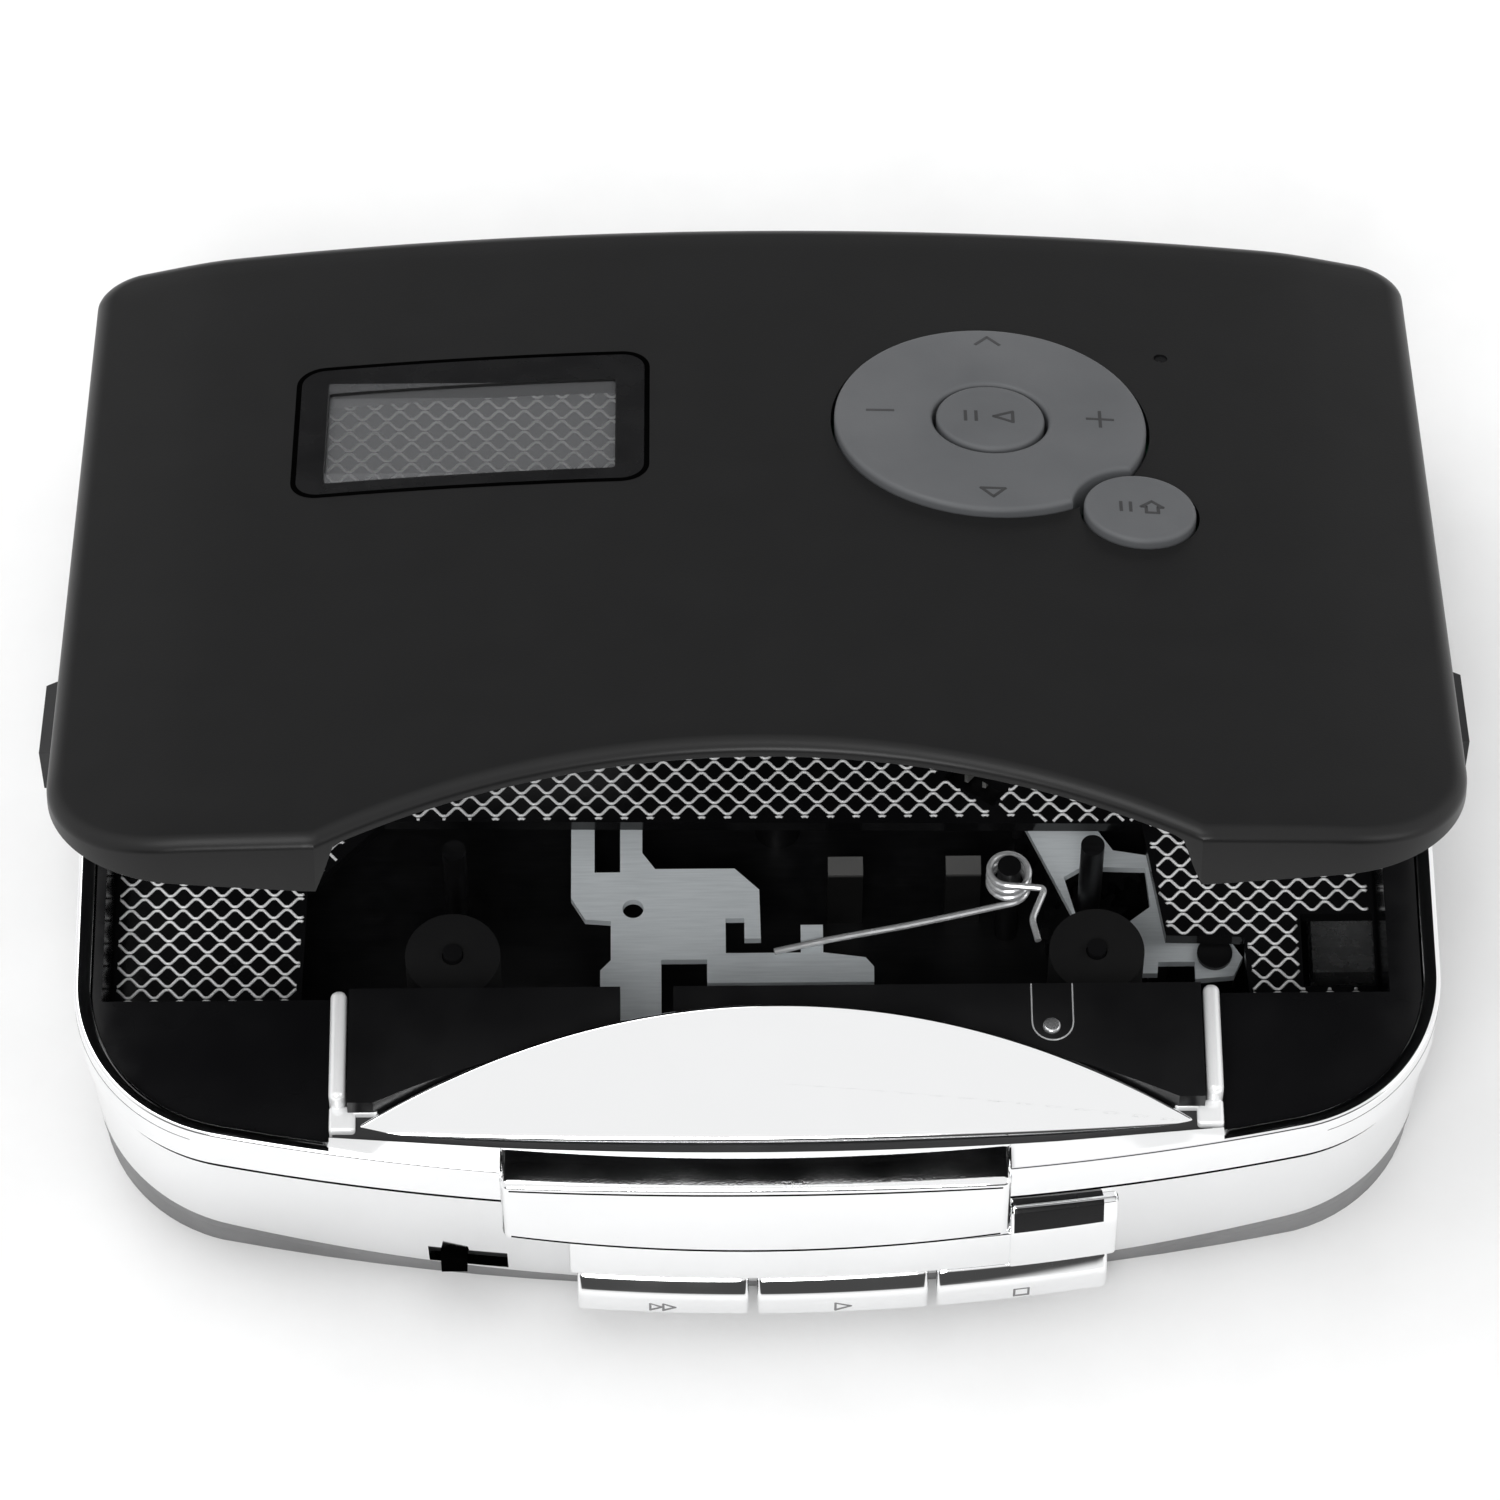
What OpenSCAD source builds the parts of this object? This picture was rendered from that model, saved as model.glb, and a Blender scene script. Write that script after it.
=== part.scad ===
// Portable cassette player with a hinged lid, lid buttons, front keys and a tape drive.
// Millimetres. The base rests on z = 0, +Y points to the hinge and +X to the right of the front.

/* [Case] */
// Width of the case across its flat sides
body_w = 114; // [112:0.5:122]
// Distance from the origin to the middle of the bowed front
front_y = 47; // [46:0.25:50]
// Distance from the origin to the flat back
back_y = 42.3; // [42:0.1:44]
// Radius of the two front corners
corner_r = 15; // [12:0.5:18]
// Radius of the two rear corners
rear_corner_r = 6; // [4:0.5:9]
// Radius of the bow of the front
front_bow_r = 222; // [190:2:300]
// Wall of the case parts
wall = 1.4; // [1.2:0.1:1.8]
// Height of the chrome rim that the lid closes on
rim_z = 26; // [25.5:0.25:30]
// Height of the rim ring above the parting line
rim_ring_h = 5; // [4:0.25:6]
// Lean of the front below the parting line, in degrees
front_draft = 8; // [4:0.5:10]
// How far the lower belt stands in from the rim
belt_step = 0.35; // [0.2:0.05:0.6]
// How far the bottom shell stands in from the rim
base_step = 0.6; // [0.4:0.05:0.9]
// Height of the belt's lower edge in the middle of the front
belt_edge_z = 1; // [0.8:0.1:2]
// Radius of the sweep of the belt's lower edge
belt_sweep_r = 350; // [300:10:500]
// Thickness of the base
base_wall = 1.6; // [1.4:0.1:2]
// Running gap between fixed parts that drop into each other
seat_gap = 0.15; // [0.1:0.05:0.25]

/* [Well] */
// Depth of the cassette well below the rim
well_depth = 8.8; // [8.6:0.1:9.5]
// Thickness of the diamond floor sheet
sheet_t = 0.5; // [0.4:0.1:0.8]
// Thickness of the deck plate under the sheet
deck_t = 0.8; // [0.7:0.1:1.2]
// Depth of the side ledges below the rim
ledge_drop = 1; // [0.8:0.1:1.4]
// Width of the ledge on the right of the well
right_ledge_w = 2.7; // [2:0.1:3.4]
// Width of the liner wall on the left of the well
left_liner_w = 0.8; // [0.7:0.1:1.2]
// Distance of the front wall of the well from the origin
well_front_y = 29.1; // [28.8:0.1:29.6]
// Distance of the rear wall of the well from the origin
well_back_y = 39.2; // [39:0.1:39.4]
// Side of the square hole in the floor
sensor_hole_w = 6.1; // [5:0.1:6.4]

/* [Front] */
// Half width of the raised seat between the two chrome posts
seat_half_w = 36.9; // [36.6:0.1:37.2]
// Middle of the raised seat, to the right of the origin
seat_x = 1.45; // [0.5:0.05:2]
// Width of a chrome post
post_w = 1.4; // [1:0.1:1.8]
// Height of the seat panel above the rim
seat_rise = 2; // [1.6:0.1:2.2]
// Height of the rear edge of the dome above the rim
dome_rise = 5.2; // [4.4:0.1:5.4]
// Radius of the dome's rear arc in plan
dome_arc_r = 77.5; // [74:0.5:80]
// Distance of the dome's rear apex from the origin
dome_back_y = 33.1; // [33:0.1:34]
// Width of the chrome bar on the front
bar_w = 42; // [38:0.5:44]
// Height of the chrome bar
bar_h = 11.1; // [10:0.1:12]
// Height of the bar's top above the rim
bar_rise = 0.5; // [0.4:0.1:0.8]
// Reach of the bar's hook over the rim
bar_hook = 2.1; // [1.8:0.1:2.6]
// How far the bar stands out from the front
bar_out = 1.2; // [1:0.1:1.6]
// Height of the bezel above the keys
bezel_h = 8.3; // [7:0.1:8.6]
// How far the bezel stands out from the front
bezel_out = 0.7; // [0.5:0.1:1]
// Height of the slot of the slide switch
switch_slot_h = 3.8; // [3:0.1:4.4]
// Length of the slot of the slide switch
switch_slot_w = 6.7; // [6:0.1:8]

/* [Keys] */
// Width of one key
key_w = 14.4; // [13.6:0.1:14.6]
// Gap between two keys
key_gap = 0.7; // [0.5:0.05:1]
// Height of a key
key_h = 4.6; // [4:0.1:4.8]
// Height of the underside of the keys above the base
key_z = 4.2; // [4:0.1:4.6]
// How far the keys stand out from the front
key_out = 1.4; // [1:0.1:2]
// Push of a key
key_travel = 5; // [4:0.25:5]
// Middle of the row of keys, to the right of the origin
keys_x = 7; // [6:0.25:8]
// Wire diameter of a key's return spring
key_spring_wire = 0.45; // [0.4:0.05:0.6]
// Turns of a key's return spring
key_spring_turns = 6; // [4:1:7]

/* [Lid] */
// Opening angle of the lid as it stands, in degrees
lid_open = 21.5; // [15:0.5:30]
// How far the lid stands out past each side of the case
lid_overhang = 0.2; // [0.1:0.05:0.4]
// Distance from the origin to the middle of the lid's bowed front edge
lid_front_y = 43.6; // [43:0.1:44.4]
// Radius of the bow of the lid's front edge
lid_bow_r = 409; // [360:5:500]
// Radius of the lid's front corners
lid_corner_r = 12; // [10:0.5:14]
// Radius of the lid's rear corners
lid_rear_r = 4; // [3.5:0.25:5]
// Height of the lid's edge at its sides
lid_edge_h = 2.7; // [2.6:0.1:3.2]
// Radius of the lid's crown across its width
lid_crown_r = 403; // [380:5:440]
// Thickness of the lid shell
lid_wall = 1.5; // [1.4:0.1:1.6]
// Gap between the closed lid and the rim
lid_gap = 0.3; // [0.2:0.05:0.4]
// Radius of the finger arc cut into the lid's front edge
arc_r = 66; // [64:0.5:68]
// Distance of the arc's apex from the origin
arc_apex_y = 32; // [31.6:0.1:32]
// Thickness of the lid's inner liner
liner_t = 0.8; // [0.6:0.1:1]
// Width of the clear window
window_w = 24.4; // [22:0.2:26]
// Height of the clear window
window_h = 13; // [11:0.2:14]
// Radius of the ring pad
ring_r = 13.2; // [12.8:0.1:13.5]
// Radius of the button in the middle of the ring
middle_r = 4.6; // [4.2:0.1:5]
// Radius of the small button beside the ring
small_r = 4.7; // [4.4:0.1:4.9]
// How far the buttons stand above the lid
button_rise = 0.7; // [0.5:0.05:0.9]
// Press of a lid button
button_travel = 0.5; // [0.4:0.05:0.5]
// Gap around a lid button
button_gap = 0.3; // [0.2:0.05:0.4]

/* [Hinge] */
// Radius of the roll along the back of the lid
roll_r = 2.2; // [2:0.1:2.4]
// Height of the hinge pins above the rim
pin_rise = 1.4; // [1.3:0.1:1.6]
// Radius of a hinge pin
pin_r = 0.8; // [0.7:0.05:0.9]
// Length of a hinge pin
pin_len = 8; // [7:0.25:9]
// Thickness of a hinge ear
ear_t = 2; // [1.6:0.1:2.4]
// Distance of a hinge ear from the middle of the case
ear_x = 49; // [46:0.25:50]

/* [Drive] */
// Middle of the cassette, to the right of the origin
tape_x = 1.5; // [1:0.1:2]
// Distance between the two reel spindles
spindle_pitch = 42.5; // [42.5:0.1:43]
// Distance of the spindles behind the origin
spindle_y = 9.8; // [9.4:0.1:10]
// Distance between the two capstans
capstan_pitch = 54; // [53.5:0.25:54.5]
// Distance of the capstans in front of the origin
capstan_y = 14.2; // [14:0.1:14.4]
// Radius of a capstan
capstan_r = 1; // [0.8:0.05:1.1]
// Radius of a flywheel
flywheel_r = 11; // [10:0.25:11]
// Radius of the belt groove of a flywheel
groove_r = 10.4; // [9:0.1:10.4]
// Radius of the belt groove of the motor pulley
pulley_r = 2.5; // [2:0.1:3]
// Radius of the motor
motor_r = 11; // [9:0.25:11]
// Height of the motor
motor_h = 7.4; // [6:0.1:7.6]
// Thickness of the drive belt
belt_t = 0.8; // [0.6:0.1:1]
// Radius of a pinch roller
roller_r = 4; // [3.6:0.1:4]
// Height of a pinch roller
roller_h = 6.5; // [6:0.1:7]
// Module of the gears
gear_m = 0.5; // [0.5:0.01:0.51]
// Thickness of the chassis plate
chassis_t = 0.8; // [0.6:0.1:1]
// Height of the chassis plate above the base
chassis_z = 7; // [6.8:0.1:7.2]
// Wire diameter of the torsion spring
torsion_wire = 0.6; // [0.5:0.05:0.6]
// Turns of the torsion spring
torsion_turns = 3; // [2:1:3]

/* [Power and sockets] */
// Radius of a battery cell
cell_r = 7.1; // [6.9:0.05:7.1]
// Length of a battery cell
cell_len = 50.2; // [49.5:0.1:50.5]
// Distance of the cells behind the origin
cell_y = 31; // [30.8:0.1:31]
// Thickness of the battery cover
cover_t = 1.1; // [0.9:0.1:1.2]
// Width of the USB socket
usb_w = 13.2; // [13:0.1:14]
// Height of the USB socket
usb_h = 5.8; // [5.6:0.1:6.2]
// Bore radius of the headphone jack
jack_bore_r = 1.8; // [1.75:0.01:1.85]
// Thickness of the circuit boards
board_t = 1; // [0.8:0.1:1.2]
// Thread radius of the case screws
screw_r = 1; // [0.9:0.05:1.1]

/* [Hidden] */
$fn = 72;
eps = 0.01;
big = 200;
// How far a corner arc reaches past the straight sides, so that they cross cleanly
arc_cross = 0.03;
// Fine seam between fixed parts that meet on a curved face
seam = 0.05;
half_w = body_w / 2;
lid_w = body_w + 2 * lid_overhang;
parting_z = rim_z - rim_ring_h;
inner = wall + seat_gap;

// Levels
floor_z = rim_z - well_depth;
deck_z = floor_z - sheet_t;
deck_low = deck_z - deck_t;
ledge_z = rim_z - ledge_drop;
seat_z = rim_z + seat_rise;
plate_t = 0.8;
plate_z = deck_low - plate_t - plate_t;
plate_top = plate_z + plate_t;
chassis_top = chassis_z + chassis_t;
gear_z = chassis_top + 0.4;
gear_t = 2;

// The well between its side walls
well_x0 = -half_w + inner + left_liner_w;
well_x1 = half_w - inner - right_ledge_w;

// Hinge and lid
pin_y = back_y - roll_r;
pin_z = rim_z + pin_rise;
roll_gap = 0.4;
pin_gap = 0.1;
lid_z = rim_z + lid_gap;
lid_top = lid_edge_h + lid_crown_r - sqrt(lid_crown_r * lid_crown_r - lid_w * lid_w / 4);
liner_z = lid_z + 0.5;
board_lid_z = liner_z + liner_t + 0.1;
board_lid_t = 0.7;
tact_h = 0.4;
tact_ring_r = 8.8;
button_z = board_lid_z + board_lid_t + tact_h + button_travel + 0.05;
flange_w = 0.6;
ring_pos = [20.1, 12.6];
small_pos = [32.2, 0.6];
window_pos = [-23.8, 12.8];
lens_pos = [35.1, 23.6];
lens_r = 0.6;
liner_screws = [[-44, 28], [44, 30], [-44, -22], [44, -22]];

// Drive places
left_capstan = [tape_x - capstan_pitch / 2, -capstan_y];
right_capstan = [tape_x + capstan_pitch / 2, -capstan_y];
supply_pos = [tape_x - spindle_pitch / 2, spindle_y];
takeup_pos = [tape_x + spindle_pitch / 2, spindle_y];
motor_pos = [-half_w + inner + motor_r + 3, 8];
pinion_teeth = 14;
idler_teeth = 26;
reel_teeth = 36;
pinion_pr = gear_m * pinion_teeth / 2;
idler_pr = gear_m * idler_teeth / 2;
reel_pr = gear_m * reel_teeth / 2;
mesh_a = pinion_pr + idler_pr;
mesh_b = idler_pr + reel_pr;
train = takeup_pos - right_capstan;
train_len = norm(train);
train_dir = atan2(train.y, train.x);
mesh_turn = acos((mesh_a * mesh_a + train_len * train_len - mesh_b * mesh_b) / (2 * mesh_a * train_len));
idler_dir = train_dir - mesh_turn;
idler_pos = right_capstan + mesh_a * [cos(idler_dir), sin(idler_dir)];
reel_dir = atan2(takeup_pos.y - idler_pos.y, takeup_pos.x - idler_pos.x);
idler_phase = idler_dir + 180 + 180 / idler_teeth + idler_dir * pinion_teeth / idler_teeth;
reel_phase = reel_dir + 180 + 180 / reel_teeth + (reel_dir - idler_phase) * idler_teeth / reel_teeth;
wheel_z = base_wall + 1;
wheel_h = 3.4;
groove_h = 2.2;
belt_h = 1.8;
belt_z = wheel_z + (wheel_h - belt_h) / 2;
run_gap = 0.2;
shaft_top = rim_z - 2;
roller_y = -capstan_y - capstan_r - roller_r - run_gap - key_travel;
roller_z = floor_z + 0.3;
head_face_y = -27.6;
arm_end_y = roller_y - 3.2;
bracket_w = 5.2;
bracket_lift = 0.3;
bracket_h = roller_z - run_gap - plate_top;
lever_pivot = [39, -20];

// Keys
keys_left = keys_x - 1.5 * key_w - key_gap;
key_top = key_z + key_h;
key_back_y = -36;
key_stop_y = -28.2;
stop_t = 1.2;
key_slack = 0.3;
bezel_z = key_top + key_slack + 0.1;
key_bow_r = 180;
cross_y = key_back_y + 2;
finger_w = 4;

// Sockets and boards
board_z = base_wall + 3.4;
board_x0 = half_w - inner - 14;
socket_z = board_z + board_t;
usb_y = 12.6;
jack_y = -5;
jack_w = 7;
jack_h = 6.4;
dc_y = -15;
dc_w = 7.8;
dc_h = 4;
usb_metal = 0.4;
switch_x = -24.6;
switch_z = 4.95;

// Cells
cell_z = base_wall + cell_r;
cells_x = 0.4;
cell_spring_room = 2.4;
contact_t = 0.4;
cover_z = 0.2;
cover_w = 2 * cell_len + 1;
cover_y0 = cell_y - cell_r - 0.5;

// Seat in front of the well
seat_step = 0.6;
seat_screw_at = [24.2, -33.5];
seat_screw_r = 0.8;
seat_slot_x = [-11.4, -7];

case_screws_at = [[-47, -31.8], [47, -31.8], [-28, 19.6], [34, 19.2]];
chassis_screws_at = [[-45, -16], [2, -3], [36.8, 4.4], [-4, 18]];
post_r = 2.4;
pillar_split_z = 8.4;

// Plan shapes

// What the two front corners of an outline lose
module front_corners(half, front, bow_r, front_r, inset) {
    bow_y = bow_r - front;
    cx = half - front_r;
    cy = bow_y - sqrt((bow_r - front_r) * (bow_r - front_r) - cx * cx);
    tangent = [cx, cy - bow_y] / (bow_r - front_r);
    reach = 2 * front_r;
    for (s = [0, 1]) mirror([s, 0]) difference() {
        polygon([[cx, cy], [cx + reach, cy], [cx + reach, cy - reach], [cx, cy] + reach * tangent]);
        translate([cx, cy]) circle(front_r - inset + arc_cross);
    }
}

// What the two rear corners of an outline lose
module rear_corners(half, back, rear_r, inset) {
    rear = max(rear_r - inset, 0.4);
    for (s = [0, 1]) mirror([s, 0]) translate([half - inset - rear, back - inset - rear]) difference() {
        square(rear + 3);
        circle(rear + arc_cross);
    }
}

// Area between the flat sides and behind the bow of the front
module bowed_band(half, front, depth, bow_r, inset) {
    intersection() {
        translate([-half + inset, -front - 1]) square([2 * (half - inset), front + 1 + depth]);
        translate([0, bow_r - front]) circle(bow_r - inset, $fn = 360);
    }
}

// Outline with flat sides and back, a bowed front and round corners, drawn in by an inset
module plan(half, front, back, bow_r, front_r, rear_r, inset) {
    difference() {
        bowed_band(half, front, back - inset, bow_r, inset);
        front_corners(half, front, bow_r, front_r, inset);
        rear_corners(half, back, rear_r, inset);
    }
}

module case_plan(inset) {
    plan(half_w, front_y, back_y, front_bow_r, corner_r, rear_corner_r, inset);
}

module lid_plan(inset) {
    plan(lid_w / 2, lid_front_y, back_y, lid_bow_r, lid_corner_r, lid_rear_r, inset);
}

// Case form below the parting line: the front leans in, and the back stays upright
module case_form(inset, z0, z1) {
    front = front_y * cos(front_draft);
    intersection() {
        translate([0, 0, z0]) linear_extrude(z1 - z0) difference() {
            translate([-half_w - 1, -2 * front_y]) square([body_w + 2, 2 * front_y + back_y - inset]);
            rear_corners(half_w, back_y, rear_corner_r, inset);
        }
        translate([0, 0, parting_z]) rotate([front_draft, 0, 0]) translate([0, 0, -2 * rim_z])
            linear_extrude(4 * rim_z) difference() {
                bowed_band(half_w, front, 2 * back_y, front_bow_r, inset);
                front_corners(half_w, front, front_bow_r, corner_r, inset);
            }
    }
}

// Everything above the swept lower edge of the belt
module above_sweep(lift) {
    translate([0, 0, belt_edge_z + belt_sweep_r + lift]) rotate([90, 0, 0])
        cylinder(r = belt_sweep_r, h = big, center = true, $fn = 360);
}

// Block between two corners
module block(low, high) {
    translate(low) cube(high - low);
}

// Cylinder along X from x0 to x1
module rod_x(x0, x1, y, z, r) {
    translate([x0, y, z]) rotate([0, 90, 0]) cylinder(r = r, h = x1 - x0);
}

// Solid with a bowed front, from a left to a right side and between two heights
module bowed_block(x0, x1, front, back, z0, z1, bow_r) {
    translate([0, 0, z0]) linear_extrude(z1 - z0) intersection() {
        translate([x0, -front - 1]) square([x1 - x0, front + 1 + back]);
        translate([0, bow_r - front]) circle(bow_r, $fn = 360);
    }
}

// Lid parts are drawn closed and stand open at the hinge
module at_lid() {
    translate([0, pin_y, pin_z]) rotate([-lid_open, 0, 0]) translate([0, -pin_y, -pin_z]) children();
}

// Everything below the lid's crown, moved by a rise
module under_crown(rise) {
    translate([0, 0, lid_z + lid_top - lid_crown_r]) rotate([90, 0, 0])
        cylinder(r = lid_crown_r + rise, h = big, center = true, $fn = 360);
}

// Wire and gears

function unit(v) = v / norm(v);
function tangent_at(path, i) = unit(path[min(i + 1, len(path) - 1)] - path[max(i - 1, 0)]);

// Least gap of a wire to itself between points that lie a given number of steps apart
function least_gap(path, wire_d, apart) = min([for (i = [0 : len(path) - 1 - apart])
    for (j = [i + apart : len(path) - 1]) norm(path[i] - path[j])]) - wire_d;

// Round wire along a path, with the ring's first side turned to an up direction
module wire(path, r, up, sides = 6) {
    last = len(path) - 1;
    rings = [for (i = [0 : last]) let (t = tangent_at(path, i), a = unit(cross(t, up)), b = cross(a, t))
        for (k = [0 : sides - 1]) path[i] + r * (cos(360 * k / sides) * a + sin(360 * k / sides) * b)];
    skin = [for (i = [0 : last - 1]) for (k = [0 : sides - 1])
        let (m = (k + 1) % sides, p = i * sides + k, q = i * sides + m)
        for (f = [[p, q, q + sides], [p, q + sides, p + sides]]) f];
    first_cap = [for (k = [1 : sides - 2]) [0, k + 1, k]];
    end = last * sides;
    last_cap = [for (k = [1 : sides - 2]) [end, end + k, end + k + 1]];
    polyhedron(points = rings, faces = concat(skin, first_cap, last_cap));
}

// Spur gear with straight-flanked teeth, one tooth centred on a phase angle
module spur_gear(teeth, thick, bore, phase) {
    pitch_r = gear_m * teeth / 2;
    tip_r = pitch_r + 0.85 * gear_m;
    root_r = pitch_r - 1.15 * gear_m;
    step = 360 / teeth;
    flanks = [[-0.29, root_r], [-0.1, tip_r], [0.1, tip_r], [0.29, root_r]];
    rotate(phase) linear_extrude(thick) difference() {
        polygon([for (i = [0 : teeth - 1]) for (f = flanks)
            f[1] * [cos(step * (i + f[0])), sin(step * (i + f[0]))]]);
        circle(bore);
    }
}

// Case

module bottom_shell() {
    ledge_x0 = keys_left - 0.4;
    ledge_x1 = keys_left + 3 * key_w + 2 * key_gap + 0.4;
    color("dimgray") difference() {
        union() {
            difference() {
                case_form(base_step, 0, rim_z / 2);
                above_sweep(-seam);
                case_form(base_step + wall, base_wall, rim_z);
            }
            // Shelf under the keys and the wall that their springs push on
            block([ledge_x0, key_back_y - 4, base_wall - eps],
                [ledge_x1, key_back_y + 6, key_z - key_slack]);
            block([ledge_x0, key_stop_y, base_wall - eps], [ledge_x1, key_stop_y + stop_t, key_top]);
            // Wall in front of the cells
            block([-half_w + inner + 2, cover_y0 - 1.2, base_wall - eps],
                [half_w - inner - 2, cover_y0 - 0.2, cell_z + cell_r * 0.7]);
            // Posts for the case screws and the board
            for (p = case_screws_at) translate([p.x, p.y, base_wall - eps])
                cylinder(r = post_r, h = pillar_split_z - base_wall);
            for (y = [jack_y - 16, usb_y + 6]) translate([board_x0 + 3, y, base_wall - eps])
                cylinder(r = 1.6, h = board_z - base_wall);
        }
        for (p = case_screws_at) translate([p.x, p.y, 0]) {
            translate([0, 0, -1]) cylinder(r = 2.3, h = 1 + base_wall + 1.4);
            translate([0, 0, -1]) cylinder(r = screw_r + 0.15, h = big);
        }
        // Way in to the cells, open to the rear for the sliding cover
        block([-cover_w / 2 + 0.8, cover_y0 - 0.2, -1], [cover_w / 2 - 0.8, big, cover_z + cover_t + 0.2]);
        block([-cover_w / 2 - 0.2, cover_y0 - 0.2, cover_z + 0.45],
            [cover_w / 2 + 0.2, big, cover_z + cover_t + 0.2]);
        block([-cover_w / 2 + 1, cover_y0 + 0.3, -1],
            [cover_w / 2 - 1, cell_y + cell_r + 0.4, base_wall + 1]);
    }
}

module lower_belt() {
    color("gainsboro") difference() {
        intersection() {
            case_form(belt_step, 0, parting_z);
            above_sweep(0);
        }
        case_form(wall, -1, rim_z);
        // Key window and switch slot
        block([keys_left - 0.4, -big, key_z - key_slack],
            [keys_left + 3 * key_w + 2 * key_gap + 0.4, -front_y + 15, key_top + key_slack]);
        block([switch_x - switch_slot_w / 2, -big, switch_z - switch_slot_h / 2],
            [switch_x + switch_slot_w / 2, -front_y + 15, switch_z + switch_slot_h / 2]);
        // Socket openings on the right side
        block([half_w - 6, usb_y - usb_w / 2 - 0.2, socket_z - 0.2],
            [half_w + 1, usb_y + usb_w / 2 + 0.2, socket_z + usb_h + 0.2]);
        rod_x(half_w - 6, half_w + 1, jack_y, socket_z + jack_h / 2, 3.1);
        block([half_w - 6, dc_y - dc_w / 2 - 0.2, socket_z - 0.2],
            [half_w + 1, dc_y + dc_w / 2 + 0.2, socket_z + dc_h + 0.2]);
        // Path of the battery cover
        block([-cover_w / 2 - 0.2, cell_y, -1], [cover_w / 2 + 0.2, big, cover_z + cover_t + 0.2]);
    }
}

module hinge_ear() {
    ear_r = roll_r - 0.4;
    rod_x(-ear_t / 2, ear_t / 2, pin_y, pin_z, ear_r);
    block([-ear_t / 2, pin_y - ear_r, parting_z], [ear_t / 2, back_y - wall + eps, pin_z - roll_r]);
    block([-ear_t / 2, pin_y - 1, parting_z], [ear_t / 2, pin_y + 1, pin_z]);
}

module upper_rim() {
    color("whitesmoke") difference() {
        union() {
            difference() {
                translate([0, 0, parting_z]) linear_extrude(rim_ring_h) difference() {
                    case_plan(0);
                    case_plan(wall);
                }
                rod_x(-half_w - 1, half_w + 1, pin_y, pin_z, roll_r + roll_gap);
            }
            for (s = [-1, 1]) translate([s * ear_x, 0, 0]) hinge_ear();
        }
        for (s = [-1, 1]) rod_x(s * ear_x - pin_len, s * ear_x + pin_len, pin_y, pin_z, pin_r);
    }
}

// Plan of the dome: between its rear arc and its front edge
module dome_plan() {
    front = front_y - wall - 2;
    intersection() {
        translate([seat_x, -dome_back_y - dome_arc_r]) circle(dome_arc_r, $fn = 360);
        translate([0, 360 - front]) circle(360, $fn = 360);
    }
}

module dome_frame() {
    front = front_y - wall - 2;
    slope = atan2(dome_rise - 0.6, front - dome_back_y);
    crown_r = 300;
    base_z = ledge_z - 1;
    color("whitesmoke") {
        // Base between the rim and the dome
        intersection() {
            translate([0, 0, base_z]) linear_extrude(rim_z - base_z) case_plan(inner);
            block([seat_x - seat_half_w, -front_y, 0], [seat_x + seat_half_w, -front + 5, rim_z + 1]);
        }
        for (x = [seat_x - seat_half_w, seat_x + seat_half_w - post_w])
            block([x, -front + 3.4, base_z], [x + post_w, -well_front_y - seat_step, seat_z]);
        intersection() {
            translate([0, 0, base_z]) linear_extrude(dome_rise + 4) dome_plan();
            translate([seat_x, -front, rim_z + 0.6]) rotate([slope, 0, 0]) translate([0, 0, -crown_r])
                rotate([90, 0, 0]) cylinder(r = crown_r, h = big, center = true, $fn = 360);
        }
    }
}

module seat_panel() {
    half = seat_half_w - post_w - seat_gap;
    panel_front = front_y - 6.6;
    color("black") translate([0, 0, rim_z]) linear_extrude(seat_rise) difference() {
        translate([seat_x - half, -panel_front]) square([2 * half, panel_front - well_front_y - seat_step]);
        translate([seat_x, -dome_back_y - dome_arc_r]) circle(dome_arc_r + seat_gap, $fn = 360);
        translate(seat_screw_at) circle(seat_screw_r);
        // Slot over the tail of the head plate
        translate([seat_slot_x[0], -front_y]) square([seat_slot_x[1] - seat_slot_x[0], front_y]);
    }
}

module front_bar() {
    z1 = rim_z + bar_rise;
    color("silver") difference() {
        bowed_block(-bar_w / 2 - 0.3, bar_w / 2 - 0.3, front_y + bar_out, 0, z1 - bar_h, z1, 150);
        case_form(belt_step - seam, -1, parting_z + eps);
        translate([0, 0, parting_z - seam]) linear_extrude(rim_ring_h + 2 * seam) case_plan(-seam);
        block([-bar_w, -front_y + bar_hook, parting_z], [bar_w, big, big]);
    }
}

module key_bezel() {
    x0 = keys_left - 0.6;
    x1 = keys_left + 3 * key_w + 2 * key_gap + 0.6;
    bar_low = rim_z + bar_rise - bar_h;
    color("gainsboro") difference() {
        bowed_block(x0, x1, front_y + bezel_out, 0, bezel_z, bezel_z + bezel_h, key_bow_r);
        case_form(belt_step - seam, -1, rim_z);
        block([-bar_w / 2 - 0.6, -big, bar_low - 0.2], [bar_w / 2, 0, big]);
    }
}

// Opening in the floor over the tape drive, wider at the front
module drive_opening() {
    polygon([[-38.7, -well_front_y - 1], [-38.2, -14], [-31.8, -7.4], [33.1, -8.2], [34.8, -19.2],
        [41.4, -19.4], [41.9, -well_front_y - 1]]);
}

// Holes of the floor that the deck and its sheet share
module floor_holes() {
    drive_opening();
    translate([46.3, -24.2]) square([sensor_hole_w, 7]);
    translate([19, -4]) rotate(-35) square([5, 2.2], center = true);
    for (p = [supply_pos, takeup_pos]) translate(p) circle(4.6);
}

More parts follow.
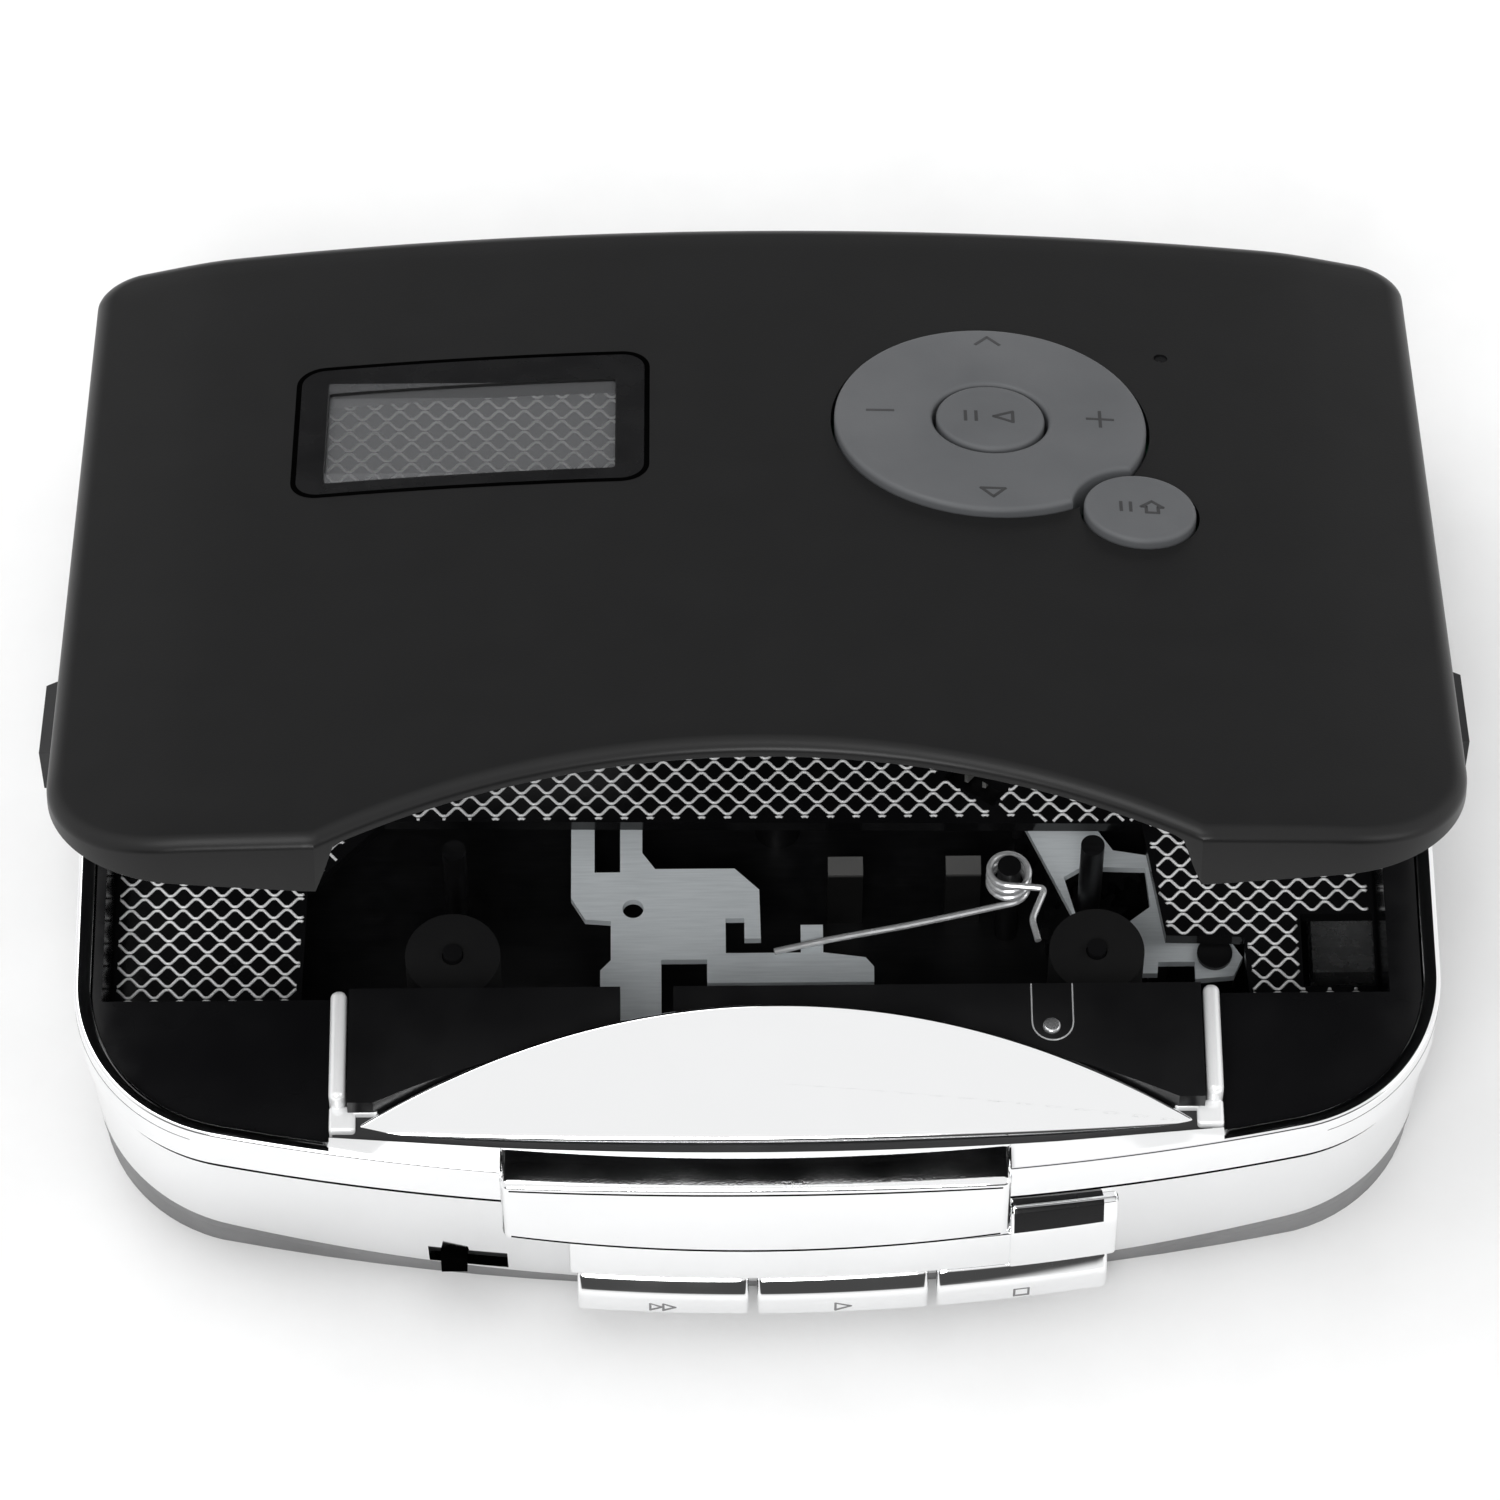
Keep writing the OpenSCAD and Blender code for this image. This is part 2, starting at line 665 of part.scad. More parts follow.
module deck() {
    color("black") difference() {
        union() {
            // Floor plate, well walls and front ledges, inside the case form
            intersection() {
                union() {
                    case_form(inner, deck_low, parting_z + eps);
                    translate([0, 0, parting_z]) linear_extrude(ledge_z - parting_z) case_plan(inner);
                }
                union() {
                    translate([0, 0, deck_low]) linear_extrude(deck_t) difference() {
                        translate([-half_w, -well_front_y - 1])
                            square([body_w, well_front_y + well_back_y + 2]);
                        floor_holes();
                    }
                    block([-half_w, -well_front_y - 1, 0], [well_x0, back_y, rim_z]);
                    block([well_x1, -well_front_y - 1, 0], [half_w, back_y, rim_z]);
                    block([-half_w, well_back_y, 0], [half_w, back_y, pin_z - roll_r - roll_gap - 0.4]);
                    for (x = [[-half_w, seat_x - seat_half_w - seat_gap],
                        [seat_x + seat_half_w + seat_gap, half_w]]) {
                        block([x[0], -well_front_y - 1, 0], [x[1], -well_front_y, rim_z]);
                        block([x[0], -front_y, ledge_z - 1.2], [x[1], -well_front_y, rim_z]);
                    }
                }
            }
            // Pillars for the screws
            for (p = case_screws_at) translate([p.x, p.y, pillar_split_z])
                cylinder(r = post_r, h = (p.y < -well_front_y ? ledge_z - 1 : deck_z - eps) - pillar_split_z);
            for (p = chassis_screws_at) translate([p.x, p.y, chassis_top])
                cylinder(r = 2, h = deck_z - eps - chassis_top);
        }
        for (p = case_screws_at) translate([p.x, p.y, 0]) cylinder(r = screw_r, h = deck_low);
        for (p = chassis_screws_at) translate([p.x, p.y, 0]) cylinder(r = 0.8, h = deck_low);
        // Room for the hinge ears at the back wall
        for (s = [-1, 1]) block([s * ear_x - ear_t / 2 - 0.3, well_back_y - 1, parting_z - 0.3],
            [s * ear_x + ear_t / 2 + 0.3, back_y, rim_z]);
        rod_x(-half_w, half_w, pin_y, pin_z, roll_r + roll_gap);
    }
}

module floor_sheet() {
    color("darkgray") translate([0, 0, deck_z]) linear_extrude(sheet_t) difference() {
        translate([well_x0 + seat_gap, -well_front_y + seat_gap])
            square([well_x1 - well_x0 - 2 * seat_gap, well_front_y + well_back_y - 2 * seat_gap]);
        floor_holes();
    }
}

module side_grips() {
    grip_out = 4.3;
    grip_y = [-2.5, 4.2];
    grip_z = [15, parting_z - seam];
    color("black") for (s = [0, 1]) mirror([s, 0, 0]) translate([0, 0, grip_z[0]])
        linear_extrude(grip_z[1] - grip_z[0]) polygon([[half_w - belt_step, grip_y[0]],
            [half_w + grip_out, grip_y[0]], [half_w + grip_out - 0.4, grip_y[1]],
            [half_w - belt_step, grip_y[1] + 2]]);
}

module case_screws() {
    color("silver") for (p = case_screws_at) translate([p.x, p.y, 0]) {
        translate([0, 0, base_wall]) cylinder(r = 2.1, h = 1.4);
        translate([0, 0, base_wall]) cylinder(r = screw_r, h = 12);
    }
}

module hinge_pins() {
    color("silver") for (s = [-1, 1])
        rod_x(s * ear_x - pin_len / 2, s * ear_x + pin_len / 2, pin_y, pin_z, pin_r);
}

// Tape drive

module chassis() {
    color("lightslategray") translate([0, 0, chassis_z]) linear_extrude(chassis_t) difference() {
        translate([motor_pos.x - 9, -26]) square([41 - motor_pos.x + 9, 46.5]);
        for (p = chassis_screws_at) translate(p) circle(0.9);
        for (p = [left_capstan, right_capstan]) translate(p) circle(capstan_r + 1.2);
        translate(motor_pos) circle(3.6);
        for (p = case_screws_at) translate(p) circle(post_r + 0.4);
    }
}

module chassis_screws() {
    color("silver") for (p = chassis_screws_at) translate([p.x, p.y, 0]) {
        translate([0, 0, chassis_z - 0.8]) cylinder(r = 1.6, h = 0.8);
        translate([0, 0, chassis_z - 0.4]) cylinder(r = 0.8, h = 5);
    }
}

module motor() {
    color("silver") translate([motor_pos.x, motor_pos.y, chassis_top]) difference() {
        union() {
            cylinder(r = motor_r, h = motor_h);
            translate([0, 0, -chassis_t]) cylinder(r = 3.4, h = chassis_t + eps);
        }
        translate([0, 0, -1]) cylinder(r = 0.85, h = 4);
    }
}

// Wheel with a belt groove, turned about its own axis
module grooved_wheel(rim_r, groove, bore) {
    low = (wheel_h - groove_h) / 2;
    rotate_extrude() polygon([[bore, 0], [rim_r, 0], [rim_r, low], [groove, low],
        [groove, low + groove_h], [rim_r, low + groove_h], [rim_r, wheel_h], [bore, wheel_h]]);
}

module motor_pulley() {
    color("goldenrod") translate([motor_pos.x, motor_pos.y, wheel_z]) {
        grooved_wheel(pulley_r + 0.6, pulley_r, 0.7);
        cylinder(r = 0.7, h = chassis_top - wheel_z + 2.4);
    }
}

module drive_belt() {
    wheels = [[left_capstan, groove_r], [right_capstan, groove_r], [motor_pos, pulley_r]];
    color("black") translate([0, 0, belt_z]) linear_extrude(belt_h) difference() {
        hull() for (w = wheels) translate(w[0]) circle(w[1] + 0.1 + belt_t, $fn = 48);
        hull() for (w = wheels) translate(w[0]) circle(w[1] + 0.1, $fn = 48);
    }
}

module flywheel(pos) {
    translate([pos.x, pos.y, wheel_z]) {
        grooved_wheel(flywheel_r, groove_r, capstan_r);
        cylinder(r = capstan_r, h = shaft_top - wheel_z);
    }
}

module flywheel_left() {
    color("darkkhaki") flywheel(left_capstan);
}

module flywheel_right() {
    color("darkkhaki") flywheel(right_capstan);
}

module capstan_bushes() {
    color("peru") for (p = [left_capstan, right_capstan]) translate([p.x, p.y, chassis_z - 0.4])
        rotate_extrude() polygon([[capstan_r + 0.1, 0], [capstan_r + 1, 0], [capstan_r + 1, chassis_t + 0.4],
            [capstan_r + 1.6, chassis_t + 0.4], [capstan_r + 1.6, chassis_t + 0.7],
            [capstan_r + 0.1, chassis_t + 0.7]]);
}

module capstan_pinion() {
    color("white") translate([right_capstan.x, right_capstan.y, gear_z])
        spur_gear(pinion_teeth, gear_t, capstan_r, 0);
}

module idler_gear() {
    color("white") translate([idler_pos.x, idler_pos.y, gear_z])
        spur_gear(idler_teeth, gear_t, 1.1, idler_phase);
}

// Reel spindle: gear, hub with six drive ribs and a rounded cap, on the chassis post
module spindle(phase) {
    hub_r = 3;
    hub_top = rim_z - 1.6 - gear_z;
    spur_gear(reel_teeth, gear_t, 1.1, phase);
    difference() {
        union() {
            translate([0, 0, gear_t - eps]) cylinder(r = hub_r, h = hub_top - gear_t);
            for (i = [0 : 5]) rotate(60 * i) translate([0, -0.4, floor_z - gear_z])
                cube([hub_r + 1, 0.8, hub_top - (floor_z - gear_z) - 1.5]);
        }
        translate([0, 0, -1]) cylinder(r = 1.1, h = floor_z - gear_z + 1);
    }
}

module takeup_spindle() {
    color("white") translate([takeup_pos.x, takeup_pos.y, gear_z]) spindle(reel_phase);
}

module supply_spindle() {
    color("white") translate([supply_pos.x, supply_pos.y, gear_z]) spindle(0);
}

// Sliding head plate with its fingers, hook, tail and the cross piece that holds the pinch rollers
module slide_plate() {
    lx = left_capstan.x;
    rx = right_capstan.x;
    arm = bracket_w / 2;
    cross_end = arm + 0.4;
    cross_top = cross_y + 4;
    color("slategray") translate([0, 0, plate_z]) linear_extrude(plate_t) difference() {
        polygon([[-15.8, -4], [-13.8, -4], [-13.8, -11.4], [-11.6, -11.4], [-11.6, -4], [-9.7, -4],
            [-9.7, -9.5], [-8.6, -11.1], [-1.8, -11.1], [0.3, -13.2], [0.4, -18], [-1, -18], [-1, -16],
            [-2.6, -16], [-2.6, -19.4], [3.8, -19.4], [3.8, -16.7], [5.7, -16.7], [5.7, -19.4],
            [9.3, -19.9], [10, -20.8], [10, -22.3], [-4.2, -22.3], [-4.2, -20], [-8.1, -20],
            [-8.1, cross_top], [rx - arm, cross_top],
            [rx - arm, arm_end_y], [rx + arm, arm_end_y], [rx + arm, cross_top], [rx + cross_end, cross_top],
            [rx + cross_end, cross_y], [lx - cross_end, cross_y], [lx - cross_end, cross_top],
            [lx - arm, cross_top], [lx - arm, arm_end_y], [lx + arm, arm_end_y], [lx + arm, cross_top],
            [-13.3, cross_top], [-13.3, -21], [-12.4, -20], [-12.4, -16.2], [-14.6, -16], [-15.8, -13.9]]);
        translate([-10.5, -15]) circle(0.9);
    }
}

module tape_head() {
    head_w = 12;
    head_d = 6;
    head_h = 8.6;
    color("silver") translate([tape_x, head_face_y, plate_top]) {
        difference() {
            translate([-head_w / 2, -head_d, 0]) cube([head_w, head_d - 1.5, head_h]);
            translate([0, -head_d + 1, head_h + 1]) rotate([0, 90, 0])
                cylinder(r = 1.4, h = 4, center = true);
        }
        intersection() {
            translate([0, -8, 0]) cylinder(r = 8, h = head_h);
            translate([-head_w / 2, -1.5 - eps, 0]) cube([head_w, 4, head_h]);
        }
    }
}

module pinch_brackets() {
    color("black") for (p = [left_capstan, right_capstan]) translate([p.x, roller_y, plate_top]) {
        translate([-bracket_w / 2, cross_y - roller_y + 1.6, 0])
            cube([bracket_w, arm_end_y - cross_y - 1.6, bracket_h]);
        translate([-bracket_w / 2, cross_y - roller_y + 1.6, bracket_lift])
            cube([bracket_w, roller_y - cross_y + 0.2, bracket_h - bracket_lift]);
        translate([0, 0, bracket_lift])
            cylinder(r = 0.8, h = roller_z + roller_h + 0.5 - plate_top - bracket_lift);
    }
}

module pinch_roller(pos) {
    color("dimgray") translate([pos.x, roller_y, roller_z]) difference() {
        cylinder(r = roller_r, h = roller_h);
        translate([0, 0, -1]) cylinder(r = 0.9, h = roller_h + 2);
    }
}

module pinch_roller_left() {
    pinch_roller(left_capstan);
}

module pinch_roller_right() {
    pinch_roller(right_capstan);
}

// Angled lever over the right capstan, with its pointed tongue and pivot
module swing_lever() {
    color("slategray") translate([0, 0, plate_z]) linear_extrude(plate_t) difference() {
        polygon([[22.3, -5], [27.8, -5], [30.7, -9.6], [35, -10.4], [35.4, -18.6], [40.4, -18.6],
            [41.4, -20.2], [40.6, -22], [37.3, -22.3], [37.3, -20.6], [34.2, -20.6], [34.1, -21.7],
            [29.3, -21.7], [29, -20.4]]);
        polygon([[26.4, -12.2], [28, -11.2], [33.4, -11.4], [33.7, -15.2], [31.4, -17], [27.5, -16.6]]);
        translate(lever_pivot) circle(0.8);
    }
}

// Torsion spring: a long arm, three turns and a hooked short arm
torsion_z = plate_top + 0.5;
torsion_pitch = torsion_wire + 0.46;
torsion_r = 1.7;
torsion_end_z = torsion_z + torsion_pitch * torsion_turns;
torsion_at = [21.6, -13.4];
torsion_steps = 8;
torsion_path = concat(
    [[1.4, -19.6, torsion_z], [6, -18.5, torsion_z], [12.6, -17.2, torsion_z], [17, -16.2, torsion_z]],
    [for (i = [0 : torsion_turns * torsion_steps]) let (a = 270 + 360 * i / torsion_steps)
        [torsion_at.x + torsion_r * cos(a), torsion_at.y + torsion_r * sin(a),
            torsion_z + torsion_pitch * i / torsion_steps]],
    [[24.6, -15.4, torsion_end_z], [23.4, -18.4, torsion_end_z], [23.9, -20.6, torsion_end_z]]);

module torsion_spring() {
    color("silver") wire(torsion_path, torsion_wire / 2, [0, 0, 1]);
    echo("torsion spring least gap", least_gap(torsion_path, torsion_wire, torsion_steps - 1));
}

// Posts on the chassis: spindle and idler axles, plate rests, spring post and lever pivot
module guide_posts() {
    rest_h = plate_z - 0.1 - chassis_top;
    color("black") {
        for (p = [[-14.8, -9], [-10.6, -24], [4, -21]]) translate([p.x, p.y, chassis_top])
            cylinder(r = 1.1, h = rest_h);
        translate([torsion_at.x, torsion_at.y, chassis_top])
            cylinder(r = 1, h = torsion_z + 3.6 - chassis_top);
        translate([lever_pivot.x - 4.6, lever_pivot.y + 0.2, chassis_top]) cylinder(r = 0.9, h = rest_h);
        translate([lever_pivot.x, lever_pivot.y, chassis_top]) {
            cylinder(r = 0.7, h = plate_top + 0.5 - chassis_top);
            cylinder(r = 1.5, h = rest_h);
            translate([0, 0, plate_top + 0.1 - chassis_top]) cylinder(r = 1.5, h = 0.4);
        }
        for (p = [supply_pos, takeup_pos]) translate([p.x, p.y, chassis_top])
            cylinder(r = 1, h = floor_z - chassis_top - 0.4);
        translate([idler_pos.x, idler_pos.y, chassis_top]) cylinder(r = 1, h = gear_t + 0.9);
    }
}

module tape_guides() {
    color("white") for (x = [6.2, 16.3])
        translate([x, -12.4, chassis_top]) cube([3, 1.8, plate_top + 1 - chassis_top]);
}

// Keys

function key_x0(i) = keys_left + i * (key_w + key_gap);

module key(i) {
    x0 = key_x0(i);
    bowed_block(x0, x0 + key_w, front_y + key_out, key_back_y, key_z, key_top, key_bow_r);
}

module wind_key() {
    color("gainsboro") key(0);
}

// The play key has a finger that pushes the cross piece of the slide plate
module play_key() {
    x0 = key_x0(1) + key_w / 2 - finger_w / 2;
    color("gainsboro") {
        key(1);
        block([x0, key_back_y - 1.5, key_top - eps], [x0 + finger_w, cross_y - run_gap, plate_top]);
    }
}

module stop_key() {
    color("gainsboro") key(2);
}

// Return spring between a key and its stop wall
module key_spring(i) {
    coil_r = 1.5;
    steps = 8;
    free = key_stop_y - key_back_y - key_spring_wire;
    count = key_spring_turns * steps;
    y0 = key_back_y + key_spring_wire / 2;
    mid_x = key_x0(i) + key_w / 2;
    mid_z = key_z + key_h / 2;
    path = [for (k = [0 : count]) let (a = 360 * k / steps)
        [mid_x + coil_r * cos(a), y0 + free * k / count, mid_z + coil_r * sin(a)]];
    color("silver") wire(path, key_spring_wire / 2, [0, 1, 0]);
}

module wind_spring() {
    key_spring(0);
}

module play_spring() {
    key_spring(1);
}

module stop_spring() {
    key_spring(2);
}

// Sockets, switch and boards

module main_board() {
    color("darkgreen") translate([board_x0, jack_y - 19, board_z])
        cube([half_w - base_step - wall - 0.3 - board_x0, usb_y + 8 - jack_y + 19, board_t]);
}

module usb_socket() {
    depth = 13.6;
    x1 = half_w - 0.2;
    color("silver") translate([x1 - depth, usb_y - usb_w / 2, socket_z]) difference() {
        cube([depth, usb_w, usb_h]);
        translate([1, usb_metal, usb_metal]) cube([depth, usb_w - 2 * usb_metal, usb_h - 2 * usb_metal]);
    }
    color("white") translate([x1 - depth + 0.9, usb_y - usb_w / 2 + 0.8, socket_z + usb_h - usb_metal - 2.2])
        cube([depth - 1.8, usb_w - 1.6, 1.9]);
}

module headphone_jack() {
    x1 = half_w - 0.2;
    axis_z = socket_z + jack_h / 2;
    color("black") difference() {
        union() {
            block([x1 - 13, jack_y - jack_w / 2, socket_z],
                [half_w - inner - 0.3, jack_y + jack_w / 2, socket_z + jack_h]);
            rod_x(x1 - 6, x1, jack_y, axis_z, 2.9);
        }
        rod_x(x1 - 12, x1 + 1, jack_y, axis_z, jack_bore_r);
    }
}

module power_socket() {
    x1 = half_w - 0.2;
    color("silver") translate([x1 - 9, dc_y - dc_w / 2, socket_z]) difference() {
        cube([9, dc_w, dc_h]);
        translate([0.8, 0.4, 0.4]) cube([9, dc_w - 0.8, dc_h - 0.8]);
    }
}

module switch_body() {
    color("silver") block([switch_x - 4.5, -front_y + 7.6, base_wall],
        [switch_x + 4.5, -front_y + 11.6, switch_z + 2.4]);
}

module switch_knob() {
    color("black") {
        block([switch_x - 2.3, -front_y + 3.3, switch_z - 1.3],
            [switch_x - 0.1, -front_y + 6.4, switch_z + 1.3]);
        block([switch_x - 3, -front_y + 6.4 - eps, switch_z - 1.2],
            [switch_x + 0.6, -front_y + 7.4, switch_z + 1.2]);
    }
}

// Cells and their cover

module battery_cells() {
    color("seagreen") for (s = [-1, 1])
        translate([cells_x + s * cell_len / 2, cell_y, cell_z]) rotate([0, 90, 0]) {
            cylinder(r = cell_r, h = cell_len - 1.2, center = true);
            cylinder(r = 2.7, h = cell_len / 2 - 0.1);
        }
}

module battery_contacts() {
    half = 0.7 * cell_r;
    x0 = cells_x - cell_len - cell_spring_room;
    x1 = cells_x + cell_len;
    color("silver") for (x = [x0 - contact_t, x1])
        block([x, cell_y - half, base_wall + 0.2], [x + contact_t, cell_y + half, cell_z + half]);
}

module battery_spring() {
    steps = 8;
    turns = 3;
    wire_r = 0.25;
    x0 = cells_x - cell_len - cell_spring_room + wire_r;
    free = 3 - 2 * wire_r;
    path = [for (k = [0 : turns * steps]) let (r = 4.2 - 2 * k / (turns * steps))
        [x0 + free * k / (turns * steps), cell_y + r * cos(360 * k / steps),
            cell_z + r * sin(360 * k / steps)]];
    color("silver") wire(path, wire_r, [1, 0, 0]);
}

module battery_cover() {
    color("dimgray") difference() {
        union() {
            block([-cover_w / 2 + 1, cover_y0, cover_z],
                [cover_w / 2 - 1, back_y - base_step, cover_z + cover_t]);
            // Tongues that slide in the grooves of the base
            block([-cover_w / 2, cover_y0, cover_z + 0.6],
                [cover_w / 2, back_y - base_step, cover_z + cover_t]);
        }
        for (i = [0 : 4])
            block([-8, cover_y0 + 4 + 2 * i, cover_z - 1], [8, cover_y0 + 5 + 2 * i, cover_z + 0.4]);
    }
}

// Lid

module lid_form(inset, rise, z0) {
    intersection() {
        translate([0, 0, z0]) linear_extrude(lid_z + lid_top + 2 - z0) lid_plan(inset);
        under_crown(rise);
    }
}

module rounded_pane(w, h, r) {
    intersection() {
        square([w, h], center = true);
        union() {
            square([w - 2 * r, h], center = true);
            square([w, h - 2 * r], center = true);
            for (x = [-1, 1]) for (y = [-1, 1]) translate([x * (w / 2 - r), y * (h / 2 - r)]) circle(r);
        }
    }
}

module lid_shell() {
    color([0.16, 0.16, 0.17]) at_lid() difference() {
        union() {
            difference() {
                lid_form(0, 0, lid_z);
                lid_form(lid_wall, -lid_wall, lid_z - 1);
                // The lower back corner follows the roll
                block([-big, pin_y, lid_z - 1], [big, back_y + 1, pin_z]);
            }
            intersection() {
                rod_x(-lid_w / 2 + lid_rear_r, lid_w / 2 - lid_rear_r, pin_y, pin_z, roll_r - arc_cross);
                under_crown(0);
            }
            for (p = liner_screws) intersection() {
                translate([p.x, p.y, liner_z + liner_t]) cylinder(r = 2, h = lid_top);
                under_crown(-eps);
            }
        }
        translate([0, -arc_apex_y - arc_r, 0]) cylinder(r = arc_r, h = big, $fn = 240);
        for (s = [-1, 1]) {
            block([s * ear_x - ear_t / 2 - 0.4, pin_y - roll_r, 0],
                [s * ear_x + ear_t / 2 + 0.4, back_y + 1, pin_z + roll_r - 0.1]);
            rod_x(s * ear_x - pin_len / 2 - 0.2, s * ear_x + pin_len / 2 + 0.2, pin_y, pin_z,
                pin_r + pin_gap);
        }
        translate([ring_pos.x, ring_pos.y, 0]) cylinder(r = ring_r + button_gap, h = big);
        translate([small_pos.x, small_pos.y, 0]) cylinder(r = small_r + button_gap, h = big);
        translate([lens_pos.x, lens_pos.y, 0]) cylinder(r = lens_r, h = big);
        translate([window_pos.x, window_pos.y, 0]) linear_extrude(big) rounded_pane(window_w, window_h, 2);
        for (p = liner_screws) translate([p.x, p.y, 0]) cylinder(r = 0.7, h = liner_z + liner_t + 1.1);
    }
}

module lid_window() {
    color([0.5, 0.55, 0.6, 0.5]) at_lid() {
        intersection() {
            translate([window_pos.x, window_pos.y, liner_z + liner_t + 0.1]) linear_extrude(lid_top)
                rounded_pane(window_w - 0.2, window_h - 0.2, 2);
            under_crown(-0.3);
            translate([0, 0, 0.2]) difference() {
                block([-lid_w, -big, 0], [lid_w, big, big]);
                under_crown(-lid_wall - 1);
            }
        }
        intersection() {
            translate([window_pos.x, window_pos.y, liner_z + liner_t + 0.1]) linear_extrude(lid_top)
                rounded_pane(window_w + 3, window_h + 3, 2.5);
            under_crown(-lid_wall - seat_gap);
            difference() {
                block([-lid_w, -big, 0], [lid_w, big, big]);
                under_crown(-lid_wall - 1);
            }
        }
    }
}

module lid_liner() {
    color("black") at_lid() translate([0, 0, liner_z]) linear_extrude(liner_t) difference() {
        lid_plan(lid_wall + 0.3);
        translate([seat_x - seat_half_w - 1.4, -big])
            square([2 * seat_half_w + 2.8, big - well_front_y + 0.8]);
        translate([-lid_w, pin_y - roll_r - 0.4]) square([2 * lid_w, big]);
        translate(window_pos) rounded_pane(window_w + 1, window_h + 1, 2);
        for (p = liner_screws) translate(p) circle(0.9);
    }
}

module lid_board() {
    color("darkgreen") at_lid() translate([-5, -8, board_lid_z]) cube([44, 36, board_lid_t]);
}

module tact_switches() {
    z = board_lid_z + board_lid_t;
    color("silver") at_lid() {
        for (a = [0 : 90 : 270]) translate([ring_pos.x, ring_pos.y, z]) rotate(a)
            translate([tact_ring_r, 0, 0]) cylinder(r = 1.6, h = tact_h);
        translate([ring_pos.x, ring_pos.y, z]) cylinder(r = 1.8, h = tact_h);
        translate([small_pos.x, small_pos.y, z]) cylinder(r = 1.8, h = tact_h);
    }
}

module lid_screws() {
    color("silver") at_lid() for (p = liner_screws) translate([p.x, p.y, 0]) {
        translate([0, 0, liner_z - 0.5]) cylinder(r = 1.5, h = 0.5);
        translate([0, 0, liner_z - 0.1]) cylinder(r = 0.7, h = liner_t + 1);
    }
}

module status_lens() {
    foot = board_lid_z + board_lid_t;
    top = lid_z + lid_top - lens_pos.x * lens_pos.x / (2 * lid_crown_r) - 0.15;
    color("white") at_lid() translate([lens_pos.x, lens_pos.y, foot])
        cylinder(r = lens_r - 0.05, h = top - foot);
}

// Lid button from its foot to its top, with a flange under the lid
module lid_button(pos, r) {
    translate([pos.x, pos.y, button_z]) {
        intersection() {
            cylinder(r = r, h = lid_top);
            translate([-pos.x, -pos.y, -button_z]) under_crown(button_rise);
        }
        intersection() {
            cylinder(r = r + flange_w, h = lid_top);
            translate([-pos.x, -pos.y, -button_z]) under_crown(-lid_wall - 0.15);
        }
    }
}

module ring_pad() {
    color("gray") at_lid() difference() {
        lid_button(ring_pos, ring_r);
        translate([ring_pos.x, ring_pos.y, 0]) cylinder(r = middle_r + button_gap, h = big);
        translate([ring_pos.x, ring_pos.y, 0])
            cylinder(r = middle_r + flange_w + button_gap, h = button_z + 1.6);
        translate([small_pos.x, small_pos.y, 0]) cylinder(r = small_r + flange_w + button_gap, h = big);
    }
}

module middle_button() {
    color("gray") at_lid() {
        intersection() {
            translate([ring_pos.x, ring_pos.y, button_z]) cylinder(r = middle_r, h = lid_top);
            under_crown(button_rise + 0.1);
        }
        translate([ring_pos.x, ring_pos.y, button_z]) cylinder(r = middle_r + flange_w, h = 0.8);
    }
}

module small_button() {
    color("gray") at_lid() lid_button(small_pos, small_r);
}

bottom_shell();
lower_belt();
upper_rim();
dome_frame();
seat_panel();
front_bar();
key_bezel();
deck();
floor_sheet();
side_grips();
chassis();
motor();
motor_pulley();
drive_belt();
capstan_bushes();
flywheel_left();
flywheel_right();
capstan_pinion();
idler_gear();
takeup_spindle();
supply_spindle();
slide_plate();
tape_head();
pinch_brackets();
pinch_roller_left();
pinch_roller_right();
swing_lever();
torsion_spring();
guide_posts();
tape_guides();
main_board();
usb_socket();
headphone_jack();
power_socket();
switch_body();
switch_knob();
wind_key();
play_key();
stop_key();
wind_spring();
play_spring();
stop_spring();
battery_cells();
battery_contacts();
battery_spring();
battery_cover();
case_screws();
chassis_screws();
hinge_pins();
lid_shell();
lid_window();
lid_liner();
lid_board();
tact_switches();
lid_screws();
status_lens();
ring_pad();
middle_button();
small_button();
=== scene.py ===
# %% [markdown]
# # A cassette player with its lid open
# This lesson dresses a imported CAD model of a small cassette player. The solids already have the right places and
# sizes, so Blender's work is the skin: rounded chrome, a satin lid, a ridged floor, spring wire and good finishes.
# Every new piece is a surface worked out with numpy, in millimetres, and turned to metres as it goes into a mesh.

# %% Load the solids
import math

import bpy
import numpy as np
from mathutils import Matrix, Vector


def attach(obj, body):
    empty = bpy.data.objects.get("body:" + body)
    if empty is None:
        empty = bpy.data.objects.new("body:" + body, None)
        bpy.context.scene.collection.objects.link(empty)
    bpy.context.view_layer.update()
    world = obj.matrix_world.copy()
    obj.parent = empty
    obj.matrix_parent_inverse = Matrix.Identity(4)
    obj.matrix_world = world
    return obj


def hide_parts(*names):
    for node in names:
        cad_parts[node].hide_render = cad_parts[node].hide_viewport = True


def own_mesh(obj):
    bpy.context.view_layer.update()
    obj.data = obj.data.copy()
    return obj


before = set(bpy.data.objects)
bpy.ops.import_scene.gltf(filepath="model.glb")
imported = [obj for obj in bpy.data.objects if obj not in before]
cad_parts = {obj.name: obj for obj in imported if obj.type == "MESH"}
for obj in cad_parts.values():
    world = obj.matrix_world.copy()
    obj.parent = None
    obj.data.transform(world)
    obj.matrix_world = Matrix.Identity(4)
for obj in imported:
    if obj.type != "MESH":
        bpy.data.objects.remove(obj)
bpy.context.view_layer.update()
MM = 0.001

# %% [markdown]
# ## The camera
# The photograph looks down on the player from the front, about 59 degrees above the table, with a long lens. A long
# lens keeps upright edges nearly parallel. The frame's middle isn't on the lens axis, so a small shift moves it.

